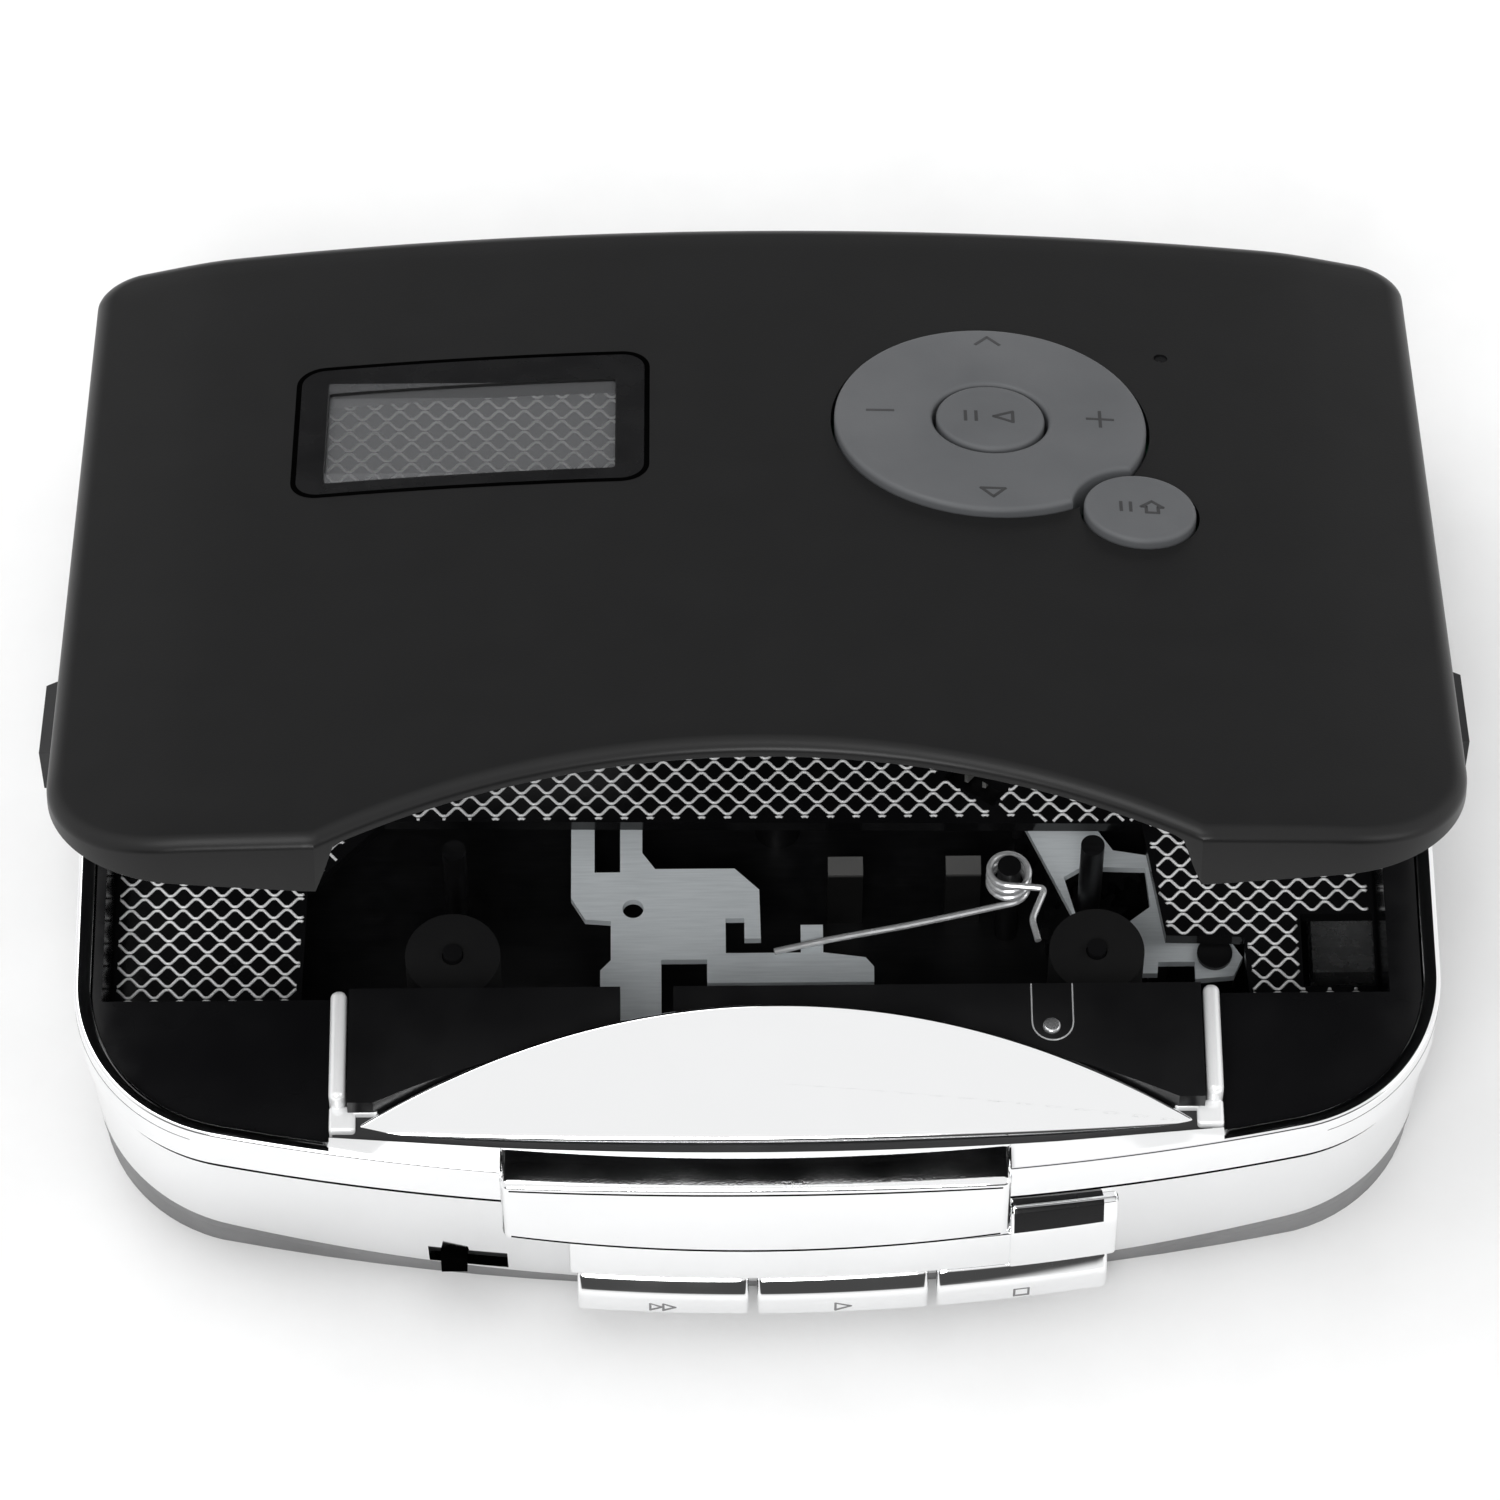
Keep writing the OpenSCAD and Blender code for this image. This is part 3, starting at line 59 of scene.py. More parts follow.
# %% Camera at the photograph's angle
LOOK_AT = np.array([0.0, 3.3, 23.0])
ELEVATION, AZIMUTH, DISTANCE = math.radians(58.714), math.radians(-0.525), 643.7
SENSOR, FOCAL, SHIFT = 36.0, 179.96, (-0.0026, -0.0487)


def aim_camera():
    """Camera axes: back points from the target to the lens, right is level, up is back crossed with right."""
    back = np.array([math.sin(AZIMUTH) * math.cos(ELEVATION), -math.cos(AZIMUTH) * math.cos(ELEVATION),
                     math.sin(ELEVATION)])
    right = np.array([math.cos(AZIMUTH), math.sin(AZIMUTH), 0.0])
    up = np.cross(back, right)
    place = (LOOK_AT + back * DISTANCE) * MM
    lens = bpy.data.cameras.new("lens")
    lens.sensor_width, lens.lens = SENSOR, FOCAL
    lens.shift_x, lens.shift_y = SHIFT
    lens.clip_start, lens.clip_end = 0.05, 20.0
    camera = bpy.data.objects.new("camera", lens)
    camera.matrix_world = Matrix([[*row, at] for row, at in zip(np.stack([right, up, back], axis=1), place)]
                                 + [[0, 0, 0, 1]])
    bpy.context.collection.objects.link(camera)
    bpy.context.scene.camera = camera
    return place


print("camera stands at", np.round(aim_camera(), 3))

# %% [markdown]
# ## Studio light
# Chrome has no colour of its own and shows what is round it. The player lies in a white tent with one dark opening
# on the side of the photographer and a dark far end. So level and upright chrome turns white, and edges that face
# the opening turn to thin dark lines. The lid leans back and shows the far end, so it stays black while its soft
# shoulders catch the white sides. A world shader can do this: its colour depends on the direction only.

# %% White tent with a dark opening
def fill(tree, node, sockets):
    """Gives each socket named a plain value, or a link when the value is another node's output."""
    for socket, value in sockets.items():
        if isinstance(value, bpy.types.NodeSocket):
            tree.links.new(value, node.inputs[socket])
        else:
            node.inputs[socket].default_value = value


def new_node(tree, kind, out, sockets):
    """A shader node with its sockets filled, which hands back one of its outputs."""
    node = tree.nodes.new("ShaderNode" + kind)
    fill(tree, node, sockets)
    return node.outputs[out]


def light_tent():
    """Strength by direction: 0.94 times white, less the opening and less the far end, each a product of steps."""
    world = bpy.data.worlds.new("tent")
    world.use_nodes = True
    tree = world.node_tree

    def work(kind, first, second):
        result = new_node(tree, "Math", 0, {0: first, 1: second})
        result.node.operation = kind
        return result

    def times(first, second):
        return work("MULTIPLY", first, second)

    def step(value, low, high):
        """Smooth step from 0 at low to 1 at high."""
        result = new_node(tree, "MapRange", "Result", {"Value": value, "From Min": low, "From Max": high})
        result.node.interpolation_type = "SMOOTHSTEP"
        return result

    y = new_node(tree, "SeparateXYZ", "Y", {0: new_node(tree, "TexCoord", "Generated", {})})
    z = y.node.outputs["Z"]
    forward, down = times(y, -1.0), times(z, -1.0)
    opening = times(times(step(forward, 0.30, 0.62), step(z, 0.10, 0.26)), step(down, -0.78, -0.62))
    far_end = times(step(y, 0.62, 0.92), step(down, -0.62, -0.40))
    left = times(work("SUBTRACT", 1.0, times(opening, 0.93)), work("SUBTRACT", 1.0, times(far_end, 0.85)))
    fill(tree, tree.nodes["Background"], {"Strength": times(left, 0.94), "Color": (1.0, 1.0, 1.0, 1.0)})
    bpy.context.scene.world = world


def soft_box(name, place, size, power):
    """A round lamp that looks at the origin: its own Z axis runs along the line from there."""
    lamp = bpy.data.lights.new(name, "AREA")
    lamp.shape, lamp.size, lamp.energy = "DISK", size, power
    box = bpy.data.objects.new(name, lamp)
    box.matrix_world = Matrix.Translation(place) @ Vector(place).to_track_quat("Z", "Y").to_matrix().to_4x4()
    bpy.context.collection.objects.link(box)


light_tent()
soft_box("soft_top", (-0.35, 0.25, 1.1), 0.7, 3.2)
soft_box("soft_right", (0.9, -0.1, 0.7), 0.5, 1.2)
soft_box("soft_front", (-0.15, -0.85, 0.95), 0.6, 6.5)
bpy.context.scene.view_settings.view_transform = "Standard"
print("lights", len(bpy.data.lights))

# %% [markdown]
# ## Finishes
# Each finish is a small node tree on Object coordinates, in metres: a noise of 4000 per metre has grains of a
# quarter of a millimetre. Noise bends the roughness and the bump a little, because no moulded or plated surface is
# quite even.

# %% Helpers for finishes
class Finish:
    """A material with one principled shader, and short calls that add noise, colour bands and bump to it."""

    def __init__(self, name, colour, rough, metal=0.0):
        self.mat = bpy.data.materials.new(name)
        self.mat.use_nodes = True
        self.mat.diffuse_color = (*colour, 1.0)
        self.place = self.add("TexCoord", "Object", {})
        self.skin({"Base Color": (*colour, 1.0), "Roughness": rough, "Metallic": metal})

    def add(self, kind, out, sockets):
        return new_node(self.mat.node_tree, kind, out, sockets)

    def skin(self, sockets):
        """Fills sockets of the shader."""
        fill(self.mat.node_tree, self.mat.node_tree.nodes["Principled BSDF"], sockets)
        return self

    def sheen(self, specular, coat=0.0):
        """Strength of the mirror image on the surface, and of a clear coat over it."""
        return self.skin({"Specular IOR Level": specular, "Coat Weight": coat, "Coat Roughness": 0.1})

    def noise(self, scale, detail=3.0, where=None):
        """Clouds with a number of waves per metre."""
        return self.add("TexNoise", "Fac", {"Vector": where or self.place, "Scale": scale, "Detail": detail})

    def between(self, value, *stops):
        """Colour ramp over two pairs of place and grey or colour."""
        ramp = self.add("ValToRGB", "Color", {"Fac": value})
        for stop, (at, shade) in zip(ramp.node.color_ramp.elements, stops):
            stop.position = at
            stop.color = (*shade, 1.0) if isinstance(shade, tuple) else (shade, shade, shade, 1.0)
        return ramp

    def bump(self, height, depth, strength=1.0):
        """Normals bent as if a height of 1 stood a depth in millimetres above 0."""
        sockets = {"Height": height, "Distance": depth * MM, "Strength": strength}
        return self.skin({"Normal": self.add("Bump", "Normal", sockets)})


def moulded(name, dark, light, rough, grain, depth, specular, coat=0.0, uneven=0.06):
    """Moulded plastic: a soft cloud between two near colours, a fine grain in the bump and uneven roughness."""
    made = Finish(name, light, rough).sheen(specular, coat)
    made.skin({"Base Color": made.between(made.noise(90.0), (0.3, dark), (0.7, light)),
               "Roughness": made.between(made.noise(260.0), (0.3, rough - uneven), (0.7, rough + uneven))})
    return made.bump(made.noise(grain, 2.0), depth)


def plated(name, colour, low, high, ripple, depth, metal=1.0):
    """Plated plastic: a mirror with a faint ripple and a film of fingerprints in its roughness."""
    made = Finish(name, colour, low, metal)
    made.skin({"Roughness": made.between(made.noise(180.0, 4.0), (0.35, low), (0.75, high))})
    return made.bump(made.noise(ripple, 2.0), depth, 0.6)


def sheet_steel(name, dark, light, rough, metal=0.85):
    """Rolled steel sheet: streaks along the rolling direction over a faint pattern of zinc crystals."""
    made = Finish(name, light, rough, metal)
    rolled = made.add("Mapping", "Vector", {"Vector": made.place, "Scale": (260.0, 4200.0, 260.0)})
    streaks = made.noise(1.0, 4.0, rolled)
    made.skin({"Base Color": made.between(streaks, (0.3, dark), (0.72, light)),
               "Roughness": made.between(made.noise(700.0), (0.3, rough - 0.08), (0.7, rough + 0.1))})
    return made.bump(streaks, 0.012)


# %% Finishes of the case and the lid
chrome = plated("chrome", (0.93, 0.935, 0.94), 0.035, 0.11, 240.0, 0.006)
bar_chrome = plated("bar_chrome", (0.93, 0.935, 0.94), 0.05, 0.16, 5200.0, 0.010)
# Near white and only a little metallic: a painted white reflection, so that the posts and the base strip stay white
# where plain chrome would mirror the dark lid.
chrome_painted_white = plated("chrome_painted_white", (0.95, 0.955, 0.96), 0.05, 0.14, 240.0, 0.006, 0.15)
# Near white and only a little metallic: partly the ridges' silver, partly painted highlights on them.
ridge_silver_and_painted_highlight = plated("ridge_silver_and_painted_highlight", (0.95, 0.955, 0.96), 0.22, 0.38, 900.0, 0.004, 0.1)
lid_black = moulded("lid_black", (0.0034, 0.0034, 0.0036), (0.004, 0.004, 0.0042), 0.36, 5200.0, 0.006, 0.30,
                    uneven=0.012)
gloss_black = moulded("gloss_black", (0.004, 0.004, 0.0045), (0.007, 0.007, 0.0075), 0.16, 900.0, 0.001, 0.2)
satin_black = moulded("satin_black", (0.005, 0.005, 0.0055), (0.008, 0.008, 0.0085), 0.34, 3600.0, 0.005, 0.25)
matt_black = moulded("matt_black", (0.018, 0.018, 0.019), (0.030, 0.030, 0.031), 0.62, 3000.0, 0.012, 0.3)
base_grey = moulded("base_grey", (0.165, 0.165, 0.168), (0.215, 0.215, 0.218), 0.48, 3000.0, 0.012, 0.35)
key_grey = moulded("button_grey", (0.082, 0.085, 0.090), (0.102, 0.105, 0.110), 0.52, 5200.0, 0.006, 0.35)
white_nylon = moulded("white_nylon", (0.62, 0.62, 0.60), (0.78, 0.78, 0.76), 0.45, 2600.0, 0.008, 0.4)
rubber = moulded("rubber", (0.005, 0.005, 0.0055), (0.009, 0.009, 0.009), 0.78, 4200.0, 0.015, 0.2)
zinc_steel = sheet_steel("zinc_steel", (0.70, 0.745, 0.77), (0.80, 0.845, 0.87), 0.40, 0.15)
black_steel = sheet_steel("black_steel", (0.005, 0.005, 0.0055), (0.010, 0.010, 0.011), 0.36, 0.3)
bright_steel = sheet_steel("bright_steel", (0.52, 0.53, 0.54), (0.70, 0.71, 0.72), 0.24)
turned_brass = sheet_steel("turned_brass", (0.50, 0.36, 0.15), (0.72, 0.55, 0.27), 0.26)
spring_wire = sheet_steel("spring_wire", (0.74, 0.75, 0.76), (0.90, 0.91, 0.92), 0.18, 0.5)
inlay_black = moulded("inlay_black", (0.0045, 0.0045, 0.005), (0.0065, 0.0065, 0.007), 0.26, 2600.0, 0.002, 0.2)
# Near black without sheen: the switch knob's own black, and the painted shade of the thin dark lines round the case
# and on the name bar.
black_and_painted_shade = moulded("black_and_painted_shade", (0.0006, 0.0006, 0.0006), (0.0012, 0.0012, 0.0012), 0.8, 2600.0, 0.002, 0.0)
mark_grey = moulded("mark_grey", (0.030, 0.030, 0.031), (0.045, 0.045, 0.047), 0.55, 5200.0, 0.004, 0.3)
board_black = moulded("board_black", (0.002, 0.0025, 0.0025), (0.004, 0.005, 0.0045), 0.5, 1800.0, 0.010, 0.1)
board_green = moulded("board_green", (0.012, 0.075, 0.035), (0.030, 0.150, 0.075), 0.38, 1800.0, 0.020, 0.5)
cell_wrap = moulded("cell_wrap", (0.02, 0.10, 0.07), (0.04, 0.17, 0.12), 0.22, 1200.0, 0.004, 0.5, 0.4)
print("finishes", len(bpy.data.materials))

# %% [markdown]
# Two finishes are made by hand. The tape guides are dark up to 15.8 mm above the table and white over it. The window
# is a thin smoked plate, through which the ridged floor shows as a soft pattern. A plate this thin hardly bends
# light, so most of the light passes straight through each of its faces, and a grey film stands for the smoke.

# %% Tape guides and smoked window
guide_cap = Finish("guide_cap", (0.8, 0.8, 0.78), 0.45)
height = guide_cap.add("SeparateXYZ", "Z", {0: guide_cap.place})
guide_cap.skin({"Base Color": guide_cap.between(height, (0.0157, 0.006), (0.0159, (0.95, 0.95, 0.93)))})
guide_cap.bump(guide_cap.noise(2600.0), 0.008)
smoked = Finish("smoked_window", (0.30, 0.305, 0.315), 0.12).sheen(0.5)
smoked.skin({"Alpha": 0.2, "Roughness": smoked.between(smoked.noise(300.0), (0.3, 0.10), (0.7, 0.2))})
print("finishes with the guides and the window", len(bpy.data.materials))

# %% [markdown]
# ## Finishes for the solids
# A solid whose shape is right keeps its mesh and only gets a finish in its material slot. Pieces that are replaced
# later still get one, so that nothing is left bare.

# %% Dress the solids
DRESS = [
    (chrome, "lower_belt upper_rim dome_frame key_bezel wind_key play_key stop_key"),
    (satin_black, "seat_panel capstan_pinion idler_gear pinch_brackets guide_posts headphone_jack lid_liner"),
    (bright_steel, "motor tape_head usb_socket power_socket switch_body battery_contacts case_screws chassis_screws"),
    (bright_steel, "hinge_pins tact_switches lid_screws"),
    (black_steel, "chassis capstan_bushes flywheel_left flywheel_right"),
    (spring_wire, "torsion_spring wind_spring play_spring stop_spring battery_spring"),
    (rubber, "drive_belt pinch_roller_left pinch_roller_right"),
    (key_grey, "ring_pad middle_button small_button"),
    (gloss_black, "deck floor_sheet"), (matt_black, "side_grips battery_cover"), (base_grey, "bottom_shell"),
    (zinc_steel, "slide_plate swing_lever"), (white_nylon, "takeup_spindle supply_spindle"),
    (turned_brass, "motor_pulley"), (guide_cap, "tape_guides"), (board_black, "main_board"),
    (black_and_painted_shade, "switch_knob"), (cell_wrap, "battery_cells"), (bar_chrome, "front_bar"),
    (lid_black, "lid_shell"), (smoked, "lid_window"), (board_green, "lid_board"), (inlay_black, "status_lens"),
]
bare = set(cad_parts)
for made, names in DRESS:
    for name in names.split():
        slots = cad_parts[name].data.materials
        slots.clear()
        slots.append(made.mat)
        bare.remove(name)
print("solids left bare", sorted(bare))

# %% [markdown]
# ## Tools for surfaces
# A shape is an outline walked counterclockwise and a short profile of insets and heights. Each step of the profile
# is one row of a grid: the outline moved inwards by the inset, at that height. numpy works out the whole grid at
# once. The first outline is that of the case, with its bowed front.

# %% Measures of the case, in millimetres
HALF, FRONT, BACK, BOW, CORNER, REAR_CORNER = 57.0, 47.0, 42.3, 222.0, 15.0, 6.0
RIM_Z, PARTING_Z, SEAT_Z, SEAT_X, FLOOR_Z = 26.0, 21.0, 28.0, 1.45, 17.2
PIN_Y, PIN_Z, ROLL, EAR_X = 40.1, 27.4, 2.2, 49.0
EAR_R = ROLL - 0.8
LEAN = math.tan(math.radians(8.0))
print("case", 2 * HALF, "wide and", FRONT + BACK, "deep")

# %% Outline of the case
def columns(*parts):
    """Coordinates put side by side: arrays of x, y and z become an array of points."""
    return np.stack(parts, axis=-1)


def arc(centre, radius, start, stop, count):
    """Points on a circle: centre plus radius times cosine and sine of angles between start and stop, in degrees."""
    turn = np.radians(np.linspace(start, stop, count))
    return columns(centre[0] + radius * np.cos(turn), centre[1] + radius * np.sin(turn))


def line(start, stop, count):
    """Points between two corners, without the last one."""
    share = np.linspace(0.0, 1.0, count, endpoint=False)[:, None]
    return np.asarray(start) * (1 - share) + np.asarray(stop) * share


def bowed_outline(half, front, back, bow, corner, rear, counts=(120, 30, 60, 15), notch=None):
    """Counterclockwise outline: a bowed front that touches two corner circles, flat sides and a flat back. A notch
    takes the middle of the front away. It is given by its right end and by its circle's y and radius."""
    across, bend, side, tight = counts
    cx, bow_y = half - corner, bow - front
    cy = bow_y - math.sqrt((bow - corner) ** 2 - cx ** 2)
    meet = math.degrees(math.atan2(cy - bow_y, cx))
    face = [arc((0, bow_y), bow, -180 - meet, meet, across)]
    if notch:
        (x, y), notch_y, radius = notch
        edge, swing = (math.degrees(math.atan2(y - mid, x)) for mid in (bow_y, notch_y))
        face = [arc((0, bow_y), bow, -180 - meet, -180 - edge, tight),
                arc((0, notch_y), radius, 180 - swing, swing, across),
                arc((0, bow_y), bow, edge, meet, tight)]
    return np.concatenate([
        *[row[:-1] for row in face],
        arc((cx, cy), corner, meet, 0, bend)[:-1],
        line((half, cy), (half, back - rear), side),
        arc((half - rear, back - rear), rear, 0, 90, tight)[:-1],
        line((half - rear, back), (rear - half, back), across),
        arc((rear - half, back - rear), rear, 90, 180, tight)[:-1],
        line((-half, back - rear), (-half, cy), side),
        arc((-cx, cy), corner, 180, 180 - meet, bend)[:-1],
    ])


case_outline = bowed_outline(HALF, FRONT, BACK, BOW, CORNER, REAR_CORNER)
print("case outline", len(case_outline), "points", np.round(np.ptp(case_outline, axis=0), 2))

# %% Grids
def unit(step):
    """Steps over their lengths."""
    return step / np.linalg.norm(step, axis=-1, keepdims=True)


def left_of(step):
    """Steps turned to the left by 90 degrees."""
    return columns(-step[..., 1], step[..., 0])


def inward(path):
    """Unit normals to the left of a closed path, from the step between the point before and the point after."""
    return left_of(unit(np.roll(path, -1, axis=0) - np.roll(path, 1, axis=0)))


def lifted(flat, height):
    """Points (x, y, z) from points (x, y) and their heights."""
    return np.concatenate([flat, np.broadcast_to(height, flat.shape[:-1])[..., None]], axis=-1)


def ring_grid(outline, profile):
    """The outline moved in by each inset, at each height: one row for each point of the profile."""
    return lifted(outline + inward(outline) * profile[:, None, :1], profile[:, 1:])


def quads(rows, cols, wrap_rows=False):
    """Corner numbers of the quads of a grid whose columns close: here, next column, next row, back."""
    row, col = np.meshgrid(np.arange(rows if wrap_rows else rows - 1), np.arange(cols), indexing="ij")
    up, right = (row + 1) % rows * cols, (col + 1) % cols
    return columns(row * cols + col, row * cols + right, up + right, up + col).reshape(-1, 4).tolist()


def hoop(grid):
    """A grid and its faces, with the last row joined to the first."""
    return grid, quads(*grid.shape[:2], wrap_rows=True)


print("normal in the middle of the front", np.round(inward(case_outline)[59], 2))

# %% Pieces
def new_object(name, points, faces):
    """An object at the origin, from points in millimetres."""
    mesh = bpy.data.meshes.new(name)
    mesh.from_pydata((np.asarray(points).reshape(-1, 3) * MM).tolist(), [], faces)
    made = bpy.data.objects.new(name, mesh)
    bpy.context.collection.objects.link(made)
    return made


SHARP = 32.0


def soften(mesh, sharp=SHARP):
    """Smooth shading, with edges past an angle kept sharp."""
    mesh.shade_smooth()
    mesh.set_sharp_from_angle(angle=math.radians(sharp))


def put_piece(name, points, faces, finish, body, stands_for=(), like=None, sharp=SHARP):
    """A finished piece that rides on a body, hides the solids it stands for and says how many faces it has; like is
    not used.
    """
    piece = new_object(name, points, faces)
    soften(piece.data, sharp)
    piece.data.materials.append(finish.mat)
    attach(piece, body)
    like or stands_for[0]
    if stands_for:
        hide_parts(*stands_for)
    print(name, "faces", len(piece.data.polygons))
    return piece


# %% [markdown]
# ## The chrome rim
# The rim is a band of plated plastic that the lid closes on. A box would show hard mirror edges, which no moulding
# has. So a closed profile with a small quarter circle at its edge is carried round the case outline.

# %% Rim ring
RIM_EDGE, RIM_WALL = 0.35, 1.4


def quarter(radius, steps=5):
    """A quarter circle in steps: radius times 1 - cosine, and radius times 1 - sine."""
    turn = np.radians(np.linspace(0, 90, steps))
    return radius * (1 - np.cos(turn)), radius * (1 - np.sin(turn))


def rim_profile():
    """Loop of insets and heights: a round outer edge, a land that falls inwards, the foot."""
    grow, fall = quarter(RIM_EDGE)
    land = [(0.5, RIM_Z - 0.03), (1.25, RIM_Z - 0.28), (RIM_WALL, RIM_Z - 0.45)]
    foot = [(RIM_WALL, PARTING_Z + 0.1), (1.3, PARTING_Z), (0.25, PARTING_Z), (0.0, PARTING_Z + 0.2)]
    return np.concatenate([columns(grow, RIM_Z - fall), land, foot])


rim = put_piece("rim", *hoop(ring_grid(case_outline, rim_profile())), chrome, "case", ["upper_rim"])

# %% [markdown]
# Two ears at the back of the rim hold the lid's pins. Each is a slab, with rows between two rounded edges and one
# face over its foot and one over its head. It is worked out lying down and turned to stand along X.

# %% Hinge ears
def round_slab(outline, low, high, edge, foot, between=1, top=None, middle=None, rings=0):
    """A slab over an outline: wall rows between two rounded edges, and rows shrunk to a middle point over its top."""
    grow, fall = quarter(foot)
    lower = columns(fall, low + grow)
    grow, fall = quarter(edge)
    upper = columns(grow, high - fall)
    wall = columns(np.zeros(between), np.linspace(lower[-1, 1], upper[0, 1], between + 2)[1:-1])
    grid = ring_grid(outline, np.concatenate([lower, wall, upper]))
    if top is not None:
        head = grid[-len(upper):]
        head[..., 2] += top(head[..., 0], head[..., 1])
        shrink = np.linspace(1, 0.02, rings + 1)[1:, None, None]
        flat = np.asarray(middle) + (grid[-1, :, :2] - middle) * shrink
        grid = np.concatenate([grid, lifted(flat, high + top(flat[..., 0], flat[..., 1]))])
    return grid


def slab(grid):
    """A grid and its faces: the quads of its rows, one face over its foot and one over its head."""
    rows, cols = grid.shape[:2]
    foot, head = range(cols)[::-1], range((rows - 1) * cols, rows * cols)
    return grid, quads(rows, cols) + [list(foot), list(head)]


def several(grids):
    """Points and faces of several slabs in one piece: the corner numbers of each start after those before it."""
    points, faces = [], []
    for grid in grids:
        faces += [[len(points) + n for n in face] for face in slab(grid)[1]]
        points += grid.reshape(-1, 3).tolist()
    return points, faces


def along_x(grid):
    """A grid of (y, z) over x becomes (x, y, z)."""
    return grid[..., [2, 0, 1]]


def hinge_ears():
    """Two upright tongues at the back: an outline of a circle on a neck, in Y and Z, carried along X."""
    neck = np.concatenate([arc((PIN_Y, PIN_Z), EAR_R, -40, 220, 28),
                           [(PIN_Y - 1.1, PARTING_Z + 0.2), (PIN_Y + 1.0, PARTING_Z + 0.2)]])
    return several([along_x(round_slab(neck, x - 1.0, x + 1.0, 0.15, 0.15)) for x in (-EAR_X, EAR_X)])


put_piece("rim_hinge_ears", *hinge_ears(), chrome, "case", like="upper_rim")

# %% [markdown]
# Two painted dark lines run round the case. The one in the rim is a painted dark reflection, which fades out towards
# the front; the one below the rim is the painted shadow of the parting groove. They are thin black rings, because real
# grooves this fine would need far smaller faces in the rim. A boolean cut then makes room for the lid's roll.

# %% Painted dark lines and room for the roll
def ring_profile(low, high, inset, wall, edge, steps=4):
    """Closed loop of insets and heights: up the outside, over a rounded top, down the inside, under the foot."""
    grow, fall = quarter(edge, steps)
    outside, inside = columns(inset + grow, high - fall), columns(inset + wall - fall, high - grow)
    foot = [(inset + wall, low + 0.1), (inset + wall - 0.1, low), (inset + 0.15, low), (inset, low + 0.15)]
    return np.concatenate([outside, inside, foot])


def painted_dark_ring(name, low, high, inset, slide):
    """A painted dark line round the case: a thin black ring that stands for shade. Its front is moved back by what
    slide makes of x and z.
    """
    grid = ring_grid(case_outline, ring_profile(low, high, inset, 0.5, 0.02))
    grid[..., 1] += slide(grid[..., 0], grid[..., 2]) * (grid[..., 1] < 0)
    put_piece(name, *hoop(grid), black_and_painted_shade, "case", like="upper_rim")


def circle(centre, radius, count=96):
    """Points round a whole circle."""
    return arc(centre, radius, 0, 360, count + 1)[:-1]


def prism(outline, low, high):
    """Two rows: the outline at two heights."""
    return ring_grid(outline, np.array([[0.0, low], [0.0, high]]))


def cut(piece, *tools):
    """Takes blocks and slabs out of a piece, with Blender's exact boolean, and keeps the result as its mesh."""
    for points, faces in tools:
        tool = new_object("tool", points, faces)
        knife = piece.modifiers.new("cut", "BOOLEAN")
        knife.operation, knife.solver, knife.object = "DIFFERENCE", "EXACT", tool
        bpy.context.view_layer.update()
        done = bpy.data.meshes.new_from_object(piece.evaluated_get(bpy.context.evaluated_depsgraph_get()))
        piece.modifiers.clear()
        old, piece.data = piece.data, done
        bpy.data.objects.remove(tool)
        bpy.data.meshes.remove(old)
    soften(piece.data)
    print(piece.name, "cut by", len(tools), "faces", len(piece.data.polygons))


# Between the front corners the rim's painted dark reflection sinks out of sight.
painted_dark_ring("rim_painted_dark_reflection", 24.32, 24.54, -0.015, lambda x, z: 0.4 * np.clip((47.0 - np.abs(x)) / 3.0, 0.0, 1.0))
painted_dark_ring("parting_painted_shadow", 19.0, PARTING_Z, 0.62, lambda x, z: LEAN * (PARTING_Z - z))
cut(rim, slab(along_x(prism(circle((PIN_Y, PIN_Z), ROLL + 0.4, 48), -60.0, 60.0))))

# %% [markdown]
# ## The lower belt
# Below the rim a second bright band leans in towards the table, and its lower edge sweeps up to the corners. The
# same ring is made upright first. Then each point is slid back by the lean, times how far it lies below the rim, and
# the foot follows a parabola. A grey collar of the same kind closes the room between the belt's foot and the base.

# %% Belt with its windows
KEYS_LEFT, KEY_W, KEY_GAP, KEY_LOW, KEY_TOP = -15.3, 14.4, 0.7, 4.2, 8.8
KEYS_RIGHT = KEYS_LEFT + 3 * KEY_W + 2 * KEY_GAP
BELT_TOP = PARTING_Z - 1.2


def smooth(value, low, high):
    """Smooth step from 0 at low to 1 at high."""
    share = np.clip((value - low) / (high - low), 0.0, 1.0)
    return share * share * (3 - 2 * share)


def belt_grid(inset, wall, foot, top):
    """Ring between two heights that depend on x, whose front slides back by lean times depth below the rim."""
    grid = ring_grid(case_outline, ring_profile(0.0, 1.0, inset, wall, 0.0, 2))
    low, high = foot(grid[..., 0]), top(grid[..., 0])
    grid[..., 2] = low + (high - low) * np.clip(grid[..., 2], 0.0, 1.0)
    grid[..., 1] += LEAN * (PARTING_Z - grid[..., 2]) * smooth(-grid[..., 1], -30.0, 24.0)
    return grid


def block(low, high):
    """Eight corners and six faces of a block, for cutting."""
    corner = columns(*np.meshgrid(*zip(low, high), indexing="ij")).reshape(-1, 3)
    return corner, [[0, 1, 3, 2], [4, 6, 7, 5], [0, 4, 5, 1], [2, 3, 7, 6], [0, 2, 6, 4], [1, 5, 7, 3]]


